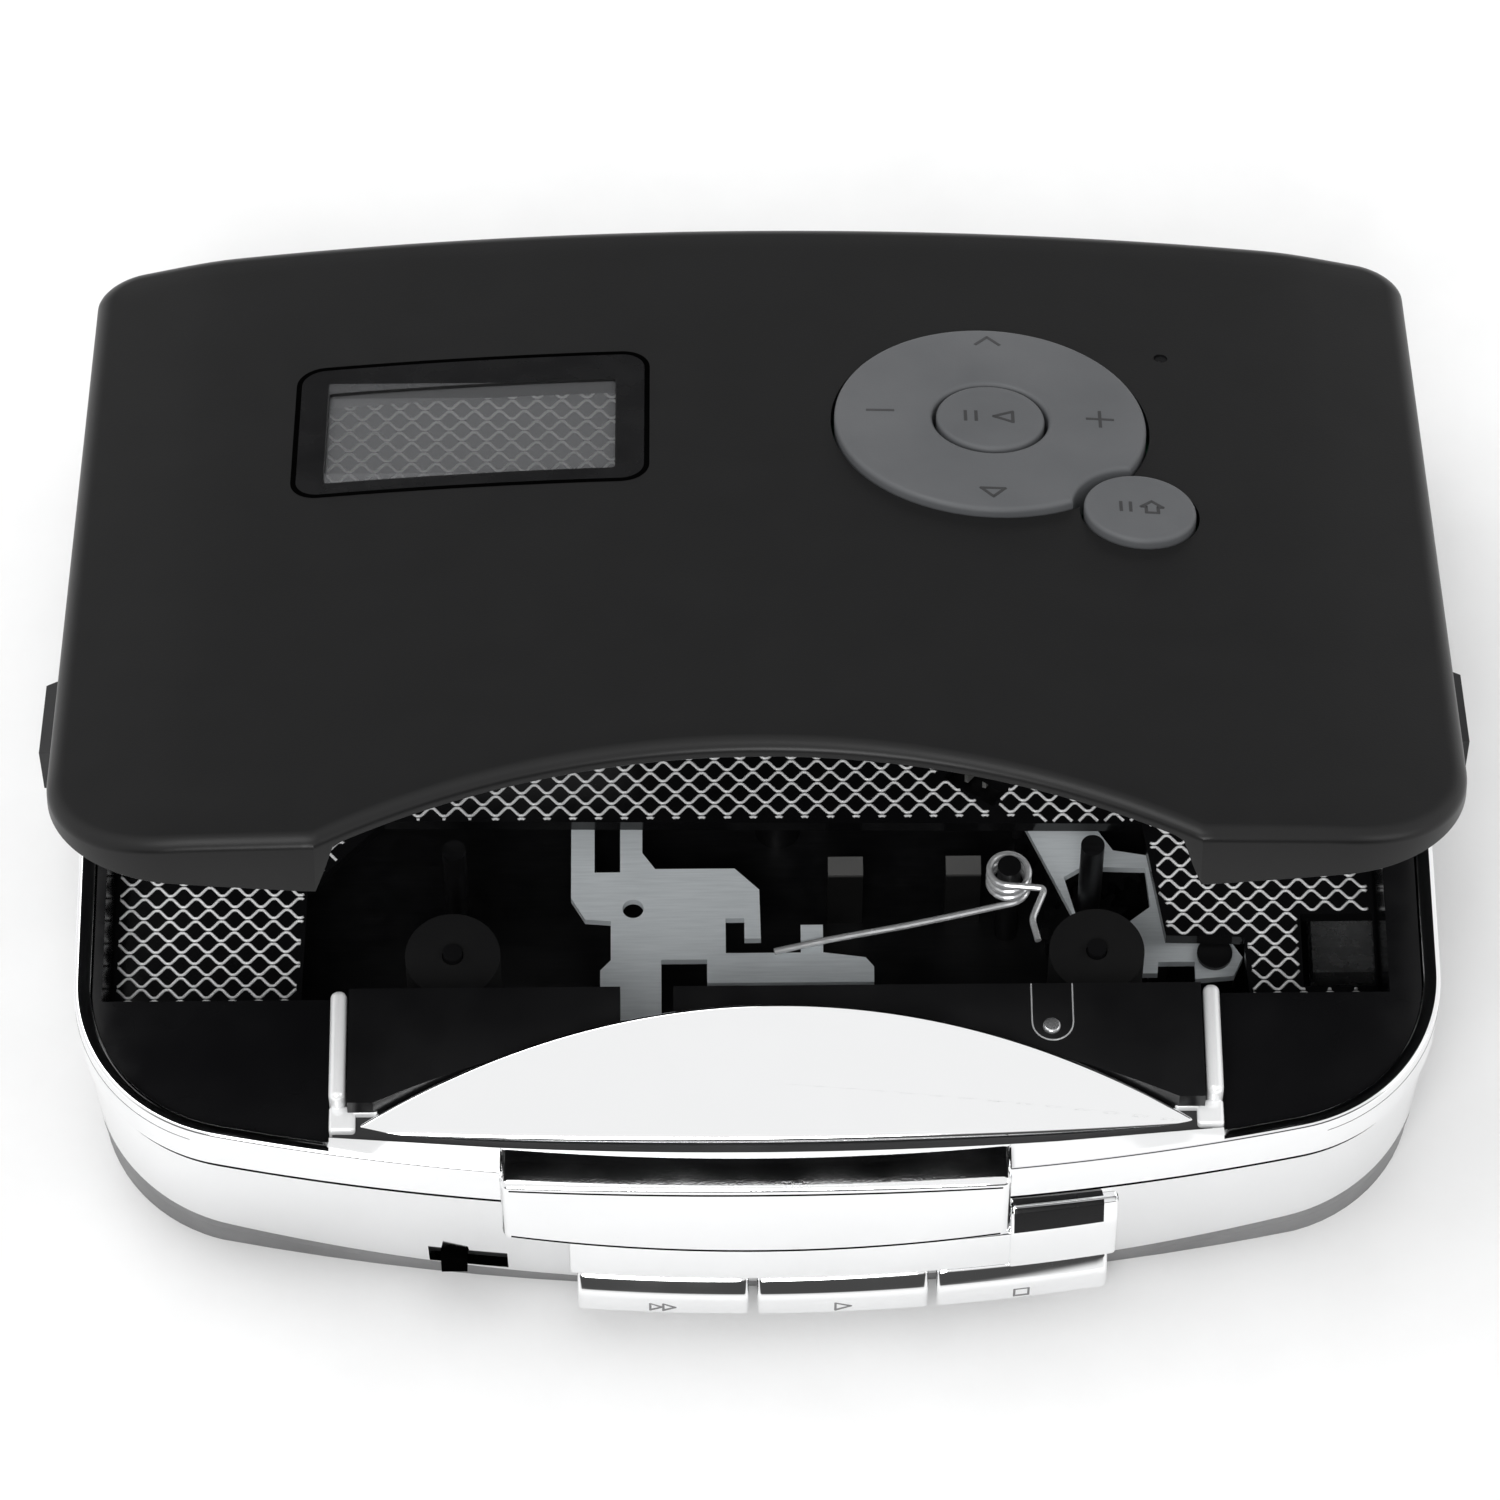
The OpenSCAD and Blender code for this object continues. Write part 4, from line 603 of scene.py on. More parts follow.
band_grid = belt_grid(0.35, 1.05, lambda x: 1.0 + x ** 2 / 600.0, lambda x: BELT_TOP)
band = put_piece("belt", *hoop(band_grid), chrome, "case", ["lower_belt"])
collar_grid = belt_grid(0.45, 0.6, lambda x: 0.5 + x ** 2 / 700.0, lambda x: 1.6 + x ** 2 / 590.0)
collar = put_piece("base_collar", *hoop(collar_grid), base_grey, "case", like="bottom_shell")
key_hole = block((KEYS_LEFT - 0.4, -60, KEY_LOW - 0.3), (KEYS_RIGHT + 0.4, -32, KEY_TOP + 0.3))
switch_hole = block((-27.95, -60, 3.05), (-21.25, -32, 6.85))
usb_hole, power_hole = block((51, 5.8, 5.8), (60, 19.4, 12.0)), block((51, -19.1, 5.8), (60, -10.9, 10.2))
jack_hole = slab(along_x(prism(circle((-5.0, 9.2), 3.1, 48), 50.0, 60.0)))
cover_low, cover_high = (-50.9, 31, -1), (50.9, 60)
cut(band, key_hole, switch_hole, usb_hole, power_hole, jack_hole, block(cover_low, (*cover_high, 1.5)))
cut(collar, block(cover_low, (*cover_high, 2.4)), usb_hole)

# %% [markdown]
# ## Dome, posts and seat
# In front of the well a chrome dome fills the arc of the lid, and two slim chrome posts close the black seat at its
# ends. The dome's outline is two arcs that meet in points. Its top is a plane that rises to the back, bent over a
# large circle from side to side.

# %% Dome and its base
DOME_FRONT, DOME_BACK, DOME_BOW, DOME_REAR, DOME_Z = 43.6, 33.1, 360.0, 77.5, 26.6
STRIP_Z = 26.02


def front_arc(x, centre, radius):
    """Points at x on the front half of a circle whose centre lies on the Y axis."""
    return columns(x, centre - np.sqrt(radius ** 2 - x ** 2))


def dome_outline(count=90):
    """The front arc from left to right, then back along the rear arc, which lies round the seat's middle."""
    out = np.linspace(-34.9, 34.9, count)
    front = front_arc(SEAT_X + out, DOME_BOW - DOME_FRONT, DOME_BOW)
    rear = columns(SEAT_X + out, -DOME_BACK - DOME_REAR + np.sqrt(DOME_REAR ** 2 - out ** 2))
    return np.concatenate([front, rear[::-1]])


def dome_top(x, y):
    """Height over the dome's foot: rises by 0.44 a millimetre to the back, and falls by x squared / 600 sideways."""
    return (y + DOME_FRONT) * 4.6 / (DOME_FRONT - DOME_BACK) - (x - SEAT_X) ** 2 / 600.0


def strip_outline(front_inset, rear_y, half, count=90):
    """Between a bow that lies in from the case's front and the dome's front arc moved to another depth."""
    x = SEAT_X + np.linspace(-half, half, count)
    return np.concatenate([front_arc(x, BOW - FRONT, BOW - front_inset),
                           front_arc(x, DOME_BOW + rear_y, DOME_BOW)[::-1]])


def strip_slope(x, y):
    """Height over the strip's foot: rises to the back, measured from the bow of the case's front."""
    return 0.11 * (y - x ** 2 / (2 * BOW) + FRONT - 0.2)


dome_grid = round_slab(dome_outline(), 24.4, DOME_Z, 0.35, 0.2, 1, dome_top, (SEAT_X, -39.2), 14)
put_piece("dome", *slab(dome_grid), chrome, "case", ["dome_frame"])
base_outline = strip_outline(0.2, -44.4, 36.85)
base_grid = round_slab(base_outline, RIM_Z, STRIP_Z, 0.01, 0.005, 1, strip_slope, (SEAT_X, -45.6), 10)
# The base strip's near-white finish is a painted white reflection on its chrome.
put_piece("dome_base", *slab(base_grid), chrome_painted_white, "case", like="dome_frame")
# A matt black strip under the dome's front edge is painted shade: it darkens the gap between the dome and its base
# strip.
gap_shade_grid = round_slab(strip_outline(1.7, -40.0, 36.6), 24.1, 25.6, 0.05, 0.05)
put_piece("dome_gap_painted_shade", *slab(gap_shade_grid), matt_black, "case", like="dome_frame")

# %% Posts
POSTS = [((35.5, -40.0), (36.9, -29.7), SEAT_Z, 0.62), ((34.7, -42.1), (36.9, -39.7), 26.25, 0.3),
         ((32.9, -40.5), (35.2, -39.9), 26.25, 0.2)]


def round_box(low, high, radius, count=6):
    """Outline of a rectangle with round corners, counterclockwise from its lower right corner."""
    (x0, y0), (x1, y1) = np.add(low, radius), np.subtract(high, radius)
    mids = ((x1, y0), (x1, y1), (x0, y1), (x0, y0))
    return np.concatenate([arc(mid, radius, turn, turn + 90, count) for mid, turn in zip(mids, (-90, 0, 90, 180))])


def seat_posts():
    """On each side of the seat a slim post, its foot and a tie to the dome: boxes from corners, a top and an edge."""
    for side in (-1, 1):
        for (x0, y0), (x1, y1), top, edge in POSTS:
            low, high = sorted((SEAT_X + side * x0, SEAT_X + side * x1))
            yield round_slab(round_box((low, y0), (high, y1), edge + 0.02), 24.0, top, edge, 0.1)


# The posts' near-white finish is a painted white reflection on their chrome.
put_piece("seat_posts", *several(seat_posts()), chrome_painted_white, "case", like="dome_frame")

# %% [markdown]
# ## The ridged floor
# The floor of the well is a black sheet with fine silver ridges, which keep a cassette from sticking to it. The ridges
# are near white and only a little metallic: their colour is partly their silver and partly painted highlights. Each
# ridge is a wave across the well, and every second one is turned over, so two neighbours close a row of diamonds. A
# ridge stops at the holes: a whole array of points is tested at once, and only the runs that lie inside become
# strips.

# %% Floor and its holes
def inside(points, loops):
    """Even-odd rule: a point is in when a ray to the right crosses the edges of the loops an odd number of times."""
    start = np.concatenate(loops)
    stop = np.concatenate([np.roll(loop, -1, axis=0) for loop in loops])
    x, y = points[..., 0, None], points[..., 1, None]
    rise = stop[:, 1] - start[:, 1]
    at = start[:, 0] + (y - start[:, 1]) * (stop[:, 0] - start[:, 0]) / np.where(rise == 0.0, 1.0, rise)
    return np.sum(((start[:, 1] > y) != (stop[:, 1] > y)) & (x < at), axis=-1) % 2 == 1


def rectangle(x0, y0, x1, y1):
    """Four corners, counterclockwise."""
    return np.array([(x0, y0), (x1, y0), (x1, y1), (x0, y1)])


def floor_loops(turn=math.radians(-35), hole=4.8):
    """The floor's outline, the drive's opening, a corner, a slot turned by an angle, and the two hub holes."""
    spin = np.array([[math.cos(turn), math.sin(turn)], [-math.sin(turn), math.cos(turn)]])
    drive = np.array([(-38.9, -28.91), (-38.4, -13.9), (-31.9, -7.2), (33.3, -8.0), (35.0, -19.0), (41.6, -19.2),
                      (42.1, -28.91)])
    return [rectangle(-54.3, -28.9, 52.4, 38.9), drive, rectangle(46.1, -24.4, 52.6, -17.0),
            rectangle(-2.7, -1.3, 2.7, 1.3) @ spin + (19.0, -4.0),
            circle((-19.75, 9.8), hole, 32), circle((22.75, 9.8), hole, 32)]


print("points of the floor's loops", [len(loop) for loop in floor_loops()])

# %% Floor ridges
def ridge_paths(pitch=1.1, period=2.21, swing=0.385, waves=52, lines=62):
    """Lines y = pitch k, plus and minus swing times a triangle wave with flat tips."""
    bend = np.array([0.06, 0.13, 0.37, 0.44, 0.56, 0.63, 0.87, 0.94])
    x = ((np.arange(waves)[:, None] + bend) * period).ravel() - 55.4
    wave = np.tile(np.clip(1.6 * (4 * np.abs(bend - 0.5) - 1), -1, 1), waves)
    k = np.arange(lines)[:, None]
    y = -28.5 + pitch * k + swing * wave * np.where(k % 2, 1, -1)
    return columns(np.broadcast_to(x, y.shape), y)


def floor_ridges(half=0.17, high=0.15, sunk=0.03):
    """Strips with a crest along the runs of the paths that lie on the floor: three points across each path point."""
    path = ridge_paths()
    ok = inside(path, floor_loops())
    joined = ok[:, :-1] & ok[:, 1:]
    across = unit(left_of(np.gradient(path, axis=1)))
    flat = path[:, :, None] + across[:, :, None] * (half * np.array([1.0, 0.0, -1.0]))[:, None]
    points = lifted(flat, FLOOR_Z + np.array([-sunk, high, -sunk]))
    first = 3 * np.arange(ok.size).reshape(ok.shape)
    here, after = first[:, :-1][joined][:, None], first[:, 1:][joined][:, None]
    side, turned = np.arange(3), (np.arange(3) + 1) % 3
    walls = columns(here + side, here + turned, after + turned, after + side).reshape(-1, 4)
    edge = np.pad(joined, ((0, 0), (1, 1)))
    starts, stops = first[edge[:, 1:] & ~edge[:, :-1]], first[edge[:, :-1] & ~edge[:, 1:]]
    caps = np.concatenate([starts[:, None] + [2, 1, 0], stops[:, None] + [0, 1, 2]])
    used, number = np.unique(np.concatenate([walls.ravel(), caps.ravel()]), return_inverse=True)
    return points.reshape(-1, 3)[used], (number[:walls.size].reshape(-1, 4).tolist()
                                         + number[walls.size:].reshape(-1, 3).tolist())


put_piece("floor_ridges", *floor_ridges(), ridge_silver_and_painted_highlight, "case", like="floor_sheet", sharp=150.0)

# %% [markdown]
# ## Springs
# The solids show the springs as wire with few sides. Here each one is a smooth tube: rings of points round a path,
# each ring across the path's direction.

# %% Wire tubes
def tube(path, radius, axis, sides=10):
    """Rings round a path: cosine and sine along two directions across it, one of them across a given axis too."""
    along = unit(np.gradient(path, axis=0))
    level = unit(np.cross(along, axis))
    other = np.cross(level, along)
    turn = np.linspace(0, 2 * math.pi, sides, endpoint=False)[None, :, None]
    return path[:, None] + radius * (np.cos(turn) * level[:, None] - np.sin(turn) * other[:, None])


def even_steps(points, count=None, step=0.15):
    """Points at even steps along straight pieces: so many round a closed path, or else one for each step."""
    length = np.concatenate([[0.0], np.cumsum(np.linalg.norm(np.diff(points, axis=0), axis=1))])
    at = np.linspace(0, length[-1], count or int(length[-1] / step), endpoint=count is None)
    return columns(*[np.interp(at, length, part) for part in points.T])


def bent_path(corners, spread=7):
    """Even steps between corners, then averaged over a few neighbours, so bends are round."""
    padded = np.pad(even_steps(corners), ((spread // 2, spread // 2), (0, 0)), mode="edge")
    return columns(*[np.convolve(part, np.full(spread, 1 / spread), "valid") for part in padded.T])


def torsion_path(low=15.6, high=18.78, radius=1.7, count=109):
    """A long arm, three turns of the radius that climb from low to high, and a hooked end."""
    coil = lifted(arc((21.6, -13.4), radius, 270, 270 + 3 * 360, count), np.linspace(low, high, count))
    arm = lifted(np.array([(1.4, -19.6), (6.0, -18.5), (12.6, -17.2), (17.0, -16.2)]), low)
    hook = lifted(np.array([(24.6, -15.4), (23.4, -18.4), (23.9, -20.6)]), high)
    return bent_path(np.concatenate([arm, coil, hook]))


torsion = tube(torsion_path(), 0.29, (0.0, 0.0, 1.0))
put_piece("torsion_wire", *slab(torsion), spring_wire, "case", ["torsion_spring"])

# %% Coils of the keys and the battery
share = np.linspace(0, 1, 200)
turn = 2 * math.pi * 6 * share
for number, name in enumerate(("wind", "play", "stop")):
    mid = KEYS_LEFT + KEY_W / 2 + number * (KEY_W + KEY_GAP)
    coil = columns(mid + 1.5 * np.cos(turn), -35.77 + 7.34 * share, 6.5 + 1.5 * np.sin(turn))
    wire = tube(coil, 0.22, (0.0, 1.0, 0.0))
    piece = put_piece(name + "_coil", *slab(wire), spring_wire, "case", [name + "_spring"])
    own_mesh(piece)
turn, reach = 2 * math.pi * 3 * share, 4.2 - 2.0 * share
cone = columns(-51.95 + 2.5 * share, 31.0 + reach * np.cos(turn), 8.7 + reach * np.sin(turn))
put_piece("battery_coil", *slab(tube(cone, 0.25, (1.0, 0.0, 0.0))), spring_wire, "case", ["battery_spring"])

# %% [markdown]
# ## Name bar, bezel and keys
# The front carries a bar without a name, a bezel under it and three keys. Each is a profile in Y and Z, carried
# along X while its points follow a bow. The face has a bow of its own, and the back has that of the case it lies on.

# %% Carried bars
def bowed(grid, back_y, front_y, front_bow, back_bow):
    """A slab of (y, z) over x becomes (x, y, z), with y moved back by x squared over twice a bow that blends from
    the front's to the back's."""
    x, y, z = np.moveaxis(along_x(grid), -1, 0)
    share = np.clip((y - front_y) / (back_y - front_y), 0.0, 1.0)
    curve = (1 - share) / (2 * front_bow) + share / (2 * back_bow)
    return columns(x, y + curve * x ** 2, z)


def fillet(corners, count=5):
    """Counterclockwise outline from corners (y, z, radius): a quadratic curve starts and ends a radius from each."""
    corners = np.asarray(corners, float)
    at, radius = corners[:, :2], corners[:, 2:]
    first, last = (at + unit(np.roll(at, way, axis=0) - at) * radius for way in (1, -1))
    t = np.linspace(0, 1, count)[None, :, None]
    curve = (1 - t) ** 2 * first[:, None] + 2 * t * (1 - t) * at[:, None] + t ** 2 * last[:, None]
    return curve.reshape(-1, 2)


def carried(name, corners, x0, x1, edge, front_bow, finish, body, stands_for, like=None, back_bow=BOW, back_y=None,
            sag=0.0, span=None):
    """The loop carried along X, bowed, and with its lower part lifted towards the ends by a sag."""
    loop = fillet(corners)
    (front_y, low), (rear_y, top) = loop.min(axis=0), loop.max(axis=0)
    grid = round_slab(loop, x0, x1, edge, edge, 24)
    points = bowed(grid, rear_y if back_y is None else back_y, front_y, front_bow, back_bow)
    low, top = span or (low, top)
    points[..., 2] += sag * (top - points[..., 2]) / (top - low) * (points[..., 0] / x1) ** 2
    return put_piece(name, *slab(points), finish, body, stands_for, like)


def on_case(z):
    """A sharp corner on the case's front in the middle, a twentieth of a millimetre proud."""
    return -FRONT + 0.30 + LEAN * np.maximum(PARTING_Z - z, 0.0) - (z > PARTING_Z) * 0.35, z, 0.02


# %% Name bar
BAR_LOW, BAR_TOP, BAR_FACE, BAR_BOW, BAR_BACK, BAR_SAG = 15.4, 26.6, -48.2, 420.0, -47.06, 2.0
carried("name_bar", [(-44.9, 26.05, 0.05), (-44.9, 26.28, 0.12), (-47.8, BAR_TOP, 0.2), (BAR_FACE, 26.3, 0.2),
                     (BAR_FACE, 15.7, 0.15), (-47.9, BAR_LOW, 0.15), on_case(BAR_LOW), on_case(20.9), on_case(21.1),
                     (-47.05, 26.05, 0.05)],
        -21.3, 20.7, 0.6, BAR_BOW, bar_chrome, "case", ["front_bar"], back_y=BAR_BACK, sag=BAR_SAG)
# Two thin black strips on the bar's face are painted shade: one under its rounded top edge, and one at its foot for
# the shadow gap below the bar.
for name, z in (("name_bar_edge", 25.72), ("name_bar_foot", 15.75)):
    y0, y1 = BAR_FACE + 0.2, BAR_FACE - 0.015
    carried(name, [(y0, z, 0.02), (y0, z + 0.3, 0.02), (y1, z + 0.3, 0.02), (y1, z, 0.02)], -20.6, 20.0, 0.05, BAR_BOW,
            black_and_painted_shade, "case", (), "front_bar", back_y=BAR_BACK, sag=BAR_SAG, span=(BAR_LOW, BAR_TOP))

# %% Bezel and keys
KEY_BOW, STRAIGHT, KEY_BACK = 180.0, 90000.0, -36.0
carried("key_bezel_skin", [on_case(15.2), (-47.5, 15.2, 0.15), (-47.7, 15.0, 0.1), (-47.7, 9.7, 0.35),
                           (-47.3, 9.25, 0.3), on_case(9.25)],
        KEYS_LEFT - 0.6, 21.3, 0.3, KEY_BOW, chrome, "case", ["key_bezel"])
carried("key_bezel_end", [on_case(17.5), (-46.9, 17.5, 0.1), (-48.0, 15.7, 0.3), (-48.0, 9.7, 0.35),
                          (-47.6, 9.25, 0.3), on_case(9.25)],
        20.9, KEYS_RIGHT + 0.6, 0.3, KEY_BOW, chrome, "case", (), "key_bezel")
carried("key_bezel_label", [(-46.3, 17.0, 0.02), (-46.3, 17.53, 0.02), (-46.93, 17.53, 0.05), (-47.99, 15.8, 0.05),
                            (-47.5, 15.6, 0.02)],
        21.2, KEYS_RIGHT - 0.6, 0.02, KEY_BOW, inlay_black, "case", (), "key_bezel")
for number, key in enumerate(("wind_key", "play_key", "stop_key")):
    left = KEYS_LEFT + number * (KEY_W + KEY_GAP)
    carried(key + "_cap", [(KEY_BACK, KEY_TOP, 0.1), (-47.1, KEY_TOP, 0.5), (-48.4, 7.4, 0.5), (-48.35, 4.5, 0.2),
                           (-48.0, KEY_LOW, 0.2), (KEY_BACK, KEY_LOW, 0.1)],
            left, left + KEY_W, 0.4, KEY_BOW, chrome, key, [key], back_bow=STRAIGHT)
finger = round_slab(round_box((5.0, -37.5), (9.0, -34.2), 0.4), 8.7, 15.1, 0.2, 0.1)
put_piece("play_key_finger", *slab(finger), satin_black, "play_key", like="play_key")

# %% [markdown]
# ## The lid
# The lid is a thin satin shell with a soft edge, a crown from side to side and an arc cut out of its front, where a
# finger lifts it. All rows follow one outline: the first ones run under the lid, then round the lip, up the skirt,
# round the edge and over the crown to a point in the middle. It is worked out closed and turned open at the hinge.

# %% Lid outline and crown
LID_Z, LID_TOP, CROWN_R, OPEN = 26.3, 6.780, 403.0, math.radians(21.5)
LID_HALF, LID_FRONT, LID_BOW, LID_CORNER, LID_REAR = 57.2, 43.6, 409.0, 12.0, 4.0
NOTCH_END, NOTCH_Y, NOTCH_R = (35.08, -42.093), -98.0, 66.0
lid_outline = bowed_outline(LID_HALF, LID_FRONT, BACK, LID_BOW, LID_CORNER, LID_REAR, (90, 26, 46, 12),
                            (NOTCH_END, NOTCH_Y, NOTCH_R))
print("lid outline", len(lid_outline), "points")


def crown(x):
    """Height of the lid's top, closed: a circle from side to side, with shoulders that fall off a little more."""
    return LID_Z + LID_TOP - (CROWN_R - np.sqrt(CROWN_R ** 2 - x ** 2)) - 0.8 * smooth(np.abs(x), 45.0, LID_HALF)


def on_crown(flat, rise):
    """Points (x, y) laid on the lid's top, and lifted."""
    return lifted(flat, crown(flat[..., 0]) + rise)


def opened(points):
    """Turns closed-lid points about the hinge pin, so that the front rises."""
    dy, dz = points[..., 1] - PIN_Y, points[..., 2] - PIN_Z
    return columns(points[..., 0], PIN_Y + dy * math.cos(OPEN) + dz * math.sin(OPEN),
                   PIN_Z - dy * math.sin(OPEN) + dz * math.cos(OPEN))


# %% Lid skin
LID_WALL, LID_EDGE, LID_MIDDLE, LIP = 1.5, 1.5, (0.0, 6.0), 0.15


def lid_rows():
    """Rows from the middle of the underside, out to the lip, up the skirt, round the edge and in over the crown."""
    path, normal = lid_outline, inward(lid_outline)
    x, y = path.T
    notch = smooth(-np.hypot(x, y - NOTCH_Y), -NOTCH_R - 0.6, -NOTCH_R - 0.2) * smooth(-np.abs(x), -35.2, -33.4)
    lip = LID_Z + (crown(x) - LID_WALL + 0.1 - LID_Z) * notch
    shrink = np.linspace(0.02, 1.0, 18)[:, None, None]

    def disc(inset, rise):
        """The outline, moved in and shrunk to the middle in 18 rows."""
        return on_crown(LID_MIDDLE + (path + normal * inset - LID_MIDDLE) * shrink, rise)

    inner = on_crown(path + normal * LID_WALL, -LID_WALL)
    skirt = np.stack([lifted(inner[:, :2], np.minimum(lip + LIP, inner[:, 2])),
                      lifted(path + normal * (LID_WALL - LIP), lip), lifted(path + normal * LIP, lip),
                      lifted(path, lip + LIP)])
    grow, fall = quarter(LID_EDGE, 8)
    bend = on_crown(path + normal * grow[:, None, None], -0.62 * fall[:, None])
    return np.concatenate([disc(LID_WALL, -LID_WALL), skirt, bend, disc(LID_EDGE, 0.0)[-2::-1]])


def roll_under(points):
    """Below the pin's height the back of the lid follows the roll: no point lies further from the pin than it."""
    dy, dz = points[..., 1] - PIN_Y, points[..., 2] - PIN_Z
    reach = np.hypot(dy, dz)
    low = (dy > 0) & (dz < 0) & (reach > ROLL)
    scale = np.where(low, ROLL / np.maximum(reach, 1e-6), 1.0)
    return columns(points[..., 0], PIN_Y + dy * scale, PIN_Z + dz * scale)


lid = put_piece("lid_skin", *slab(opened(roll_under(lid_rows()))), lid_black, "lid", ["lid_shell"])

# %% Holes in the lid
RING, SMALL, LENS, WINDOW = (20.1, 12.6), (32.2, 0.6), (35.1, 23.6), (-23.8, 12.8)


def through(outline):
    """A tall prism over an outline of the closed lid, turned with the lid, for cutting."""
    return slab(opened(prism(outline, 20, 40)))


def window_box(grow, radius, count):
    """The window's outline, grown to all sides."""
    half = np.add((12.2, 6.5), grow)
    return round_box(WINDOW - half, WINDOW + half, radius, count)


def ear_slot(x, back, top):
    """Room for a hinge ear, from under the lid to a back and a top."""
    points, faces = block((x - 1.4, PIN_Y - ROLL, 20.0), (x + 1.4, back, top))
    return opened(points), faces


cut(lid, through(circle(RING, 13.5)), through(circle(SMALL, 5.0)), through(circle(LENS, 0.6, 24)),
    through(window_box(0.0, 0.3, 4)),
    *[ear_slot(x, *ends) for x in (-EAR_X, EAR_X) for ends in ((BACK - 0.3, 28.9), (BACK + 1, PIN_Z + 1.25))])

# %% [markdown]
# Under the skin lies a flat liner, open below the window and behind the finger arc. A roll along the back turns on
# the pins. It is thin outside the two ears and full between them.

# %% Liner and hinge roll
def liner_notch(count=41):
    """Outline of the front opening: a block as wide as the seat, with an arc behind the finger arc."""
    x = np.linspace(SEAT_X + 38.3, SEAT_X - 38.3, count)
    rear = np.maximum(-28.1, NOTCH_Y + np.sqrt((NOTCH_R + 7.5) ** 2 - x ** 2))
    return np.concatenate([[(x[-1], -60.0), (x[0], -60.0)], columns(x, rear)])


liner_grid = round_slab(bowed_outline(55.4, 41.8, 37.5, LID_BOW, 10.2, 0.5), 26.8, 27.6, 0.1, 0.1)
liner = put_piece("lid_liner_plate", *slab(opened(liner_grid)), satin_black, "lid", ["lid_liner"])
view_hole = round_box((WINDOW[0] - 12.7, WINDOW[1] - 7.0), (WINDOW[0] + 12.7, 29.0), 2.0, 5)
cut(liner, through(liner_notch()), through(view_hole))
rolls = [opened(along_x(round_slab(circle((PIN_Y, PIN_Z), radius, 40), x0, x1, 0.3, 0.3)))
         for x0, x1, radius in ((-52.6, -50.4, EAR_R), (-47.6, 47.6, ROLL - 0.03), (50.4, 52.6, EAR_R))]
put_piece("lid_hinge_roll", *several(rolls), lid_black, "lid", like="lid_shell")

# %% [markdown]
# ## Buttons
# The round pad, its middle button and the small button beside it are moulded in grey, stand a little proud of the
# lid and have soft edges. The pad is a ring with a bite for the small button, so its rows run from the outer outline
# over the top to the inner circle and down again.

# %% Pad and buttons
PAD_R, PAD_HOLE, BITE, PAD_RISE, MIDDLE_RISE = 13.2, 4.9, 5.6, 0.7, 0.8
BUTTON_LOW, BUTTON_Z = 29.4, 34.0


def pad_outline(count=150):
    """Circle of the pad without the bite of a circle round the small button."""
    gap = np.subtract(SMALL, RING)
    apart, towards = np.hypot(*gap), math.degrees(math.atan2(gap[1], gap[0]))
    half = math.degrees(math.acos((apart ** 2 + PAD_R ** 2 - BITE ** 2) / (2 * apart * PAD_R)))
    back = math.degrees(math.acos((apart ** 2 + BITE ** 2 - PAD_R ** 2) / (2 * apart * BITE)))
    return np.concatenate([arc(RING, PAD_R, towards + half, towards + 360 - half, count)[:-1],
                           arc(SMALL, BITE, towards + 180 + back, towards + 180 - back, 16)[:-1]])


def ring_pad_rows(edge=0.45):
    """Up the outer wall, round its edge, across to the hole's edge, round that and down the hole."""
    outer = pad_outline()
    swing = np.arctan2(outer[:, 1] - RING[1], outer[:, 0] - RING[0])
    away = columns(np.cos(swing), np.sin(swing))
    inner = RING + PAD_HOLE * away
    grow, fall = quarter(edge)
    grow, share = grow[:, None, None], np.linspace(0, 1, 8)[1:-1, None, None]
    rim, hole = outer + inward(outer) * grow, (inner + away * grow)[::-1]
    flat = np.concatenate([rim, rim[-1] * (1 - share) + hole[0] * share, hole])
    drop = np.concatenate([fall, np.zeros(len(share)), fall[::-1]])
    top = on_crown(flat, PAD_RISE - drop[:, None])
    return np.concatenate([lifted(outer, BUTTON_LOW)[None], top, lifted(inner, BUTTON_LOW)[None]])


def crowned(rise):
    """Height over BUTTON_Z of a top that follows the lid's crown, lifted."""
    return lambda x, y: crown(x) + rise - BUTTON_Z


put_piece("ring_pad_skin", *hoop(opened(ring_pad_rows())), key_grey, "ring_pad", ["ring_pad"])
for name, centre, radius, rise in (("middle_button", RING, 4.6, MIDDLE_RISE), ("small_button", SMALL, 4.7, PAD_RISE)):
    grid = round_slab(circle(centre, radius), BUTTON_LOW, BUTTON_Z, 0.4, 0.1, 1, crowned(rise), centre, 8)
    put_piece(name + "_skin", *slab(opened(grid)), key_grey, name, [name])

# %% [markdown]
# ## Window frame and marks
# Round the window the lid has a dark line and a smoother field, and the buttons carry small signs. A sign is a set
# of short bars, one for each stroke, laid on the curved top. All the bars of a sign are worked out together.

# %% Window frame
FRAME_LOW, FRAME_HIGH, FRAME_LINE = (-38.9, 4.3), (-8.7, 23.3), 0.45


def even_loop(loop, count=400):
    """Points at even steps along a closed outline."""
    return even_steps(np.concatenate([loop, loop[:1]]), count)


def lid_ring(name, outer, inner, rise, finish):
    """A flat ring on the lid between two outlines: foot, top rows from outer to inner, foot."""
    share = np.concatenate([[0.0], np.linspace(0, 1, 6), [1.0]])[:, None, None]
    lift = np.array([-0.3, *[rise] * 6, -0.3])[:, None]
    rows = on_crown(even_loop(outer) * (1 - share) + even_loop(inner) * share, lift)
    put_piece(name, *hoop(opened(rows)), finish, "lid", like="lid_shell")


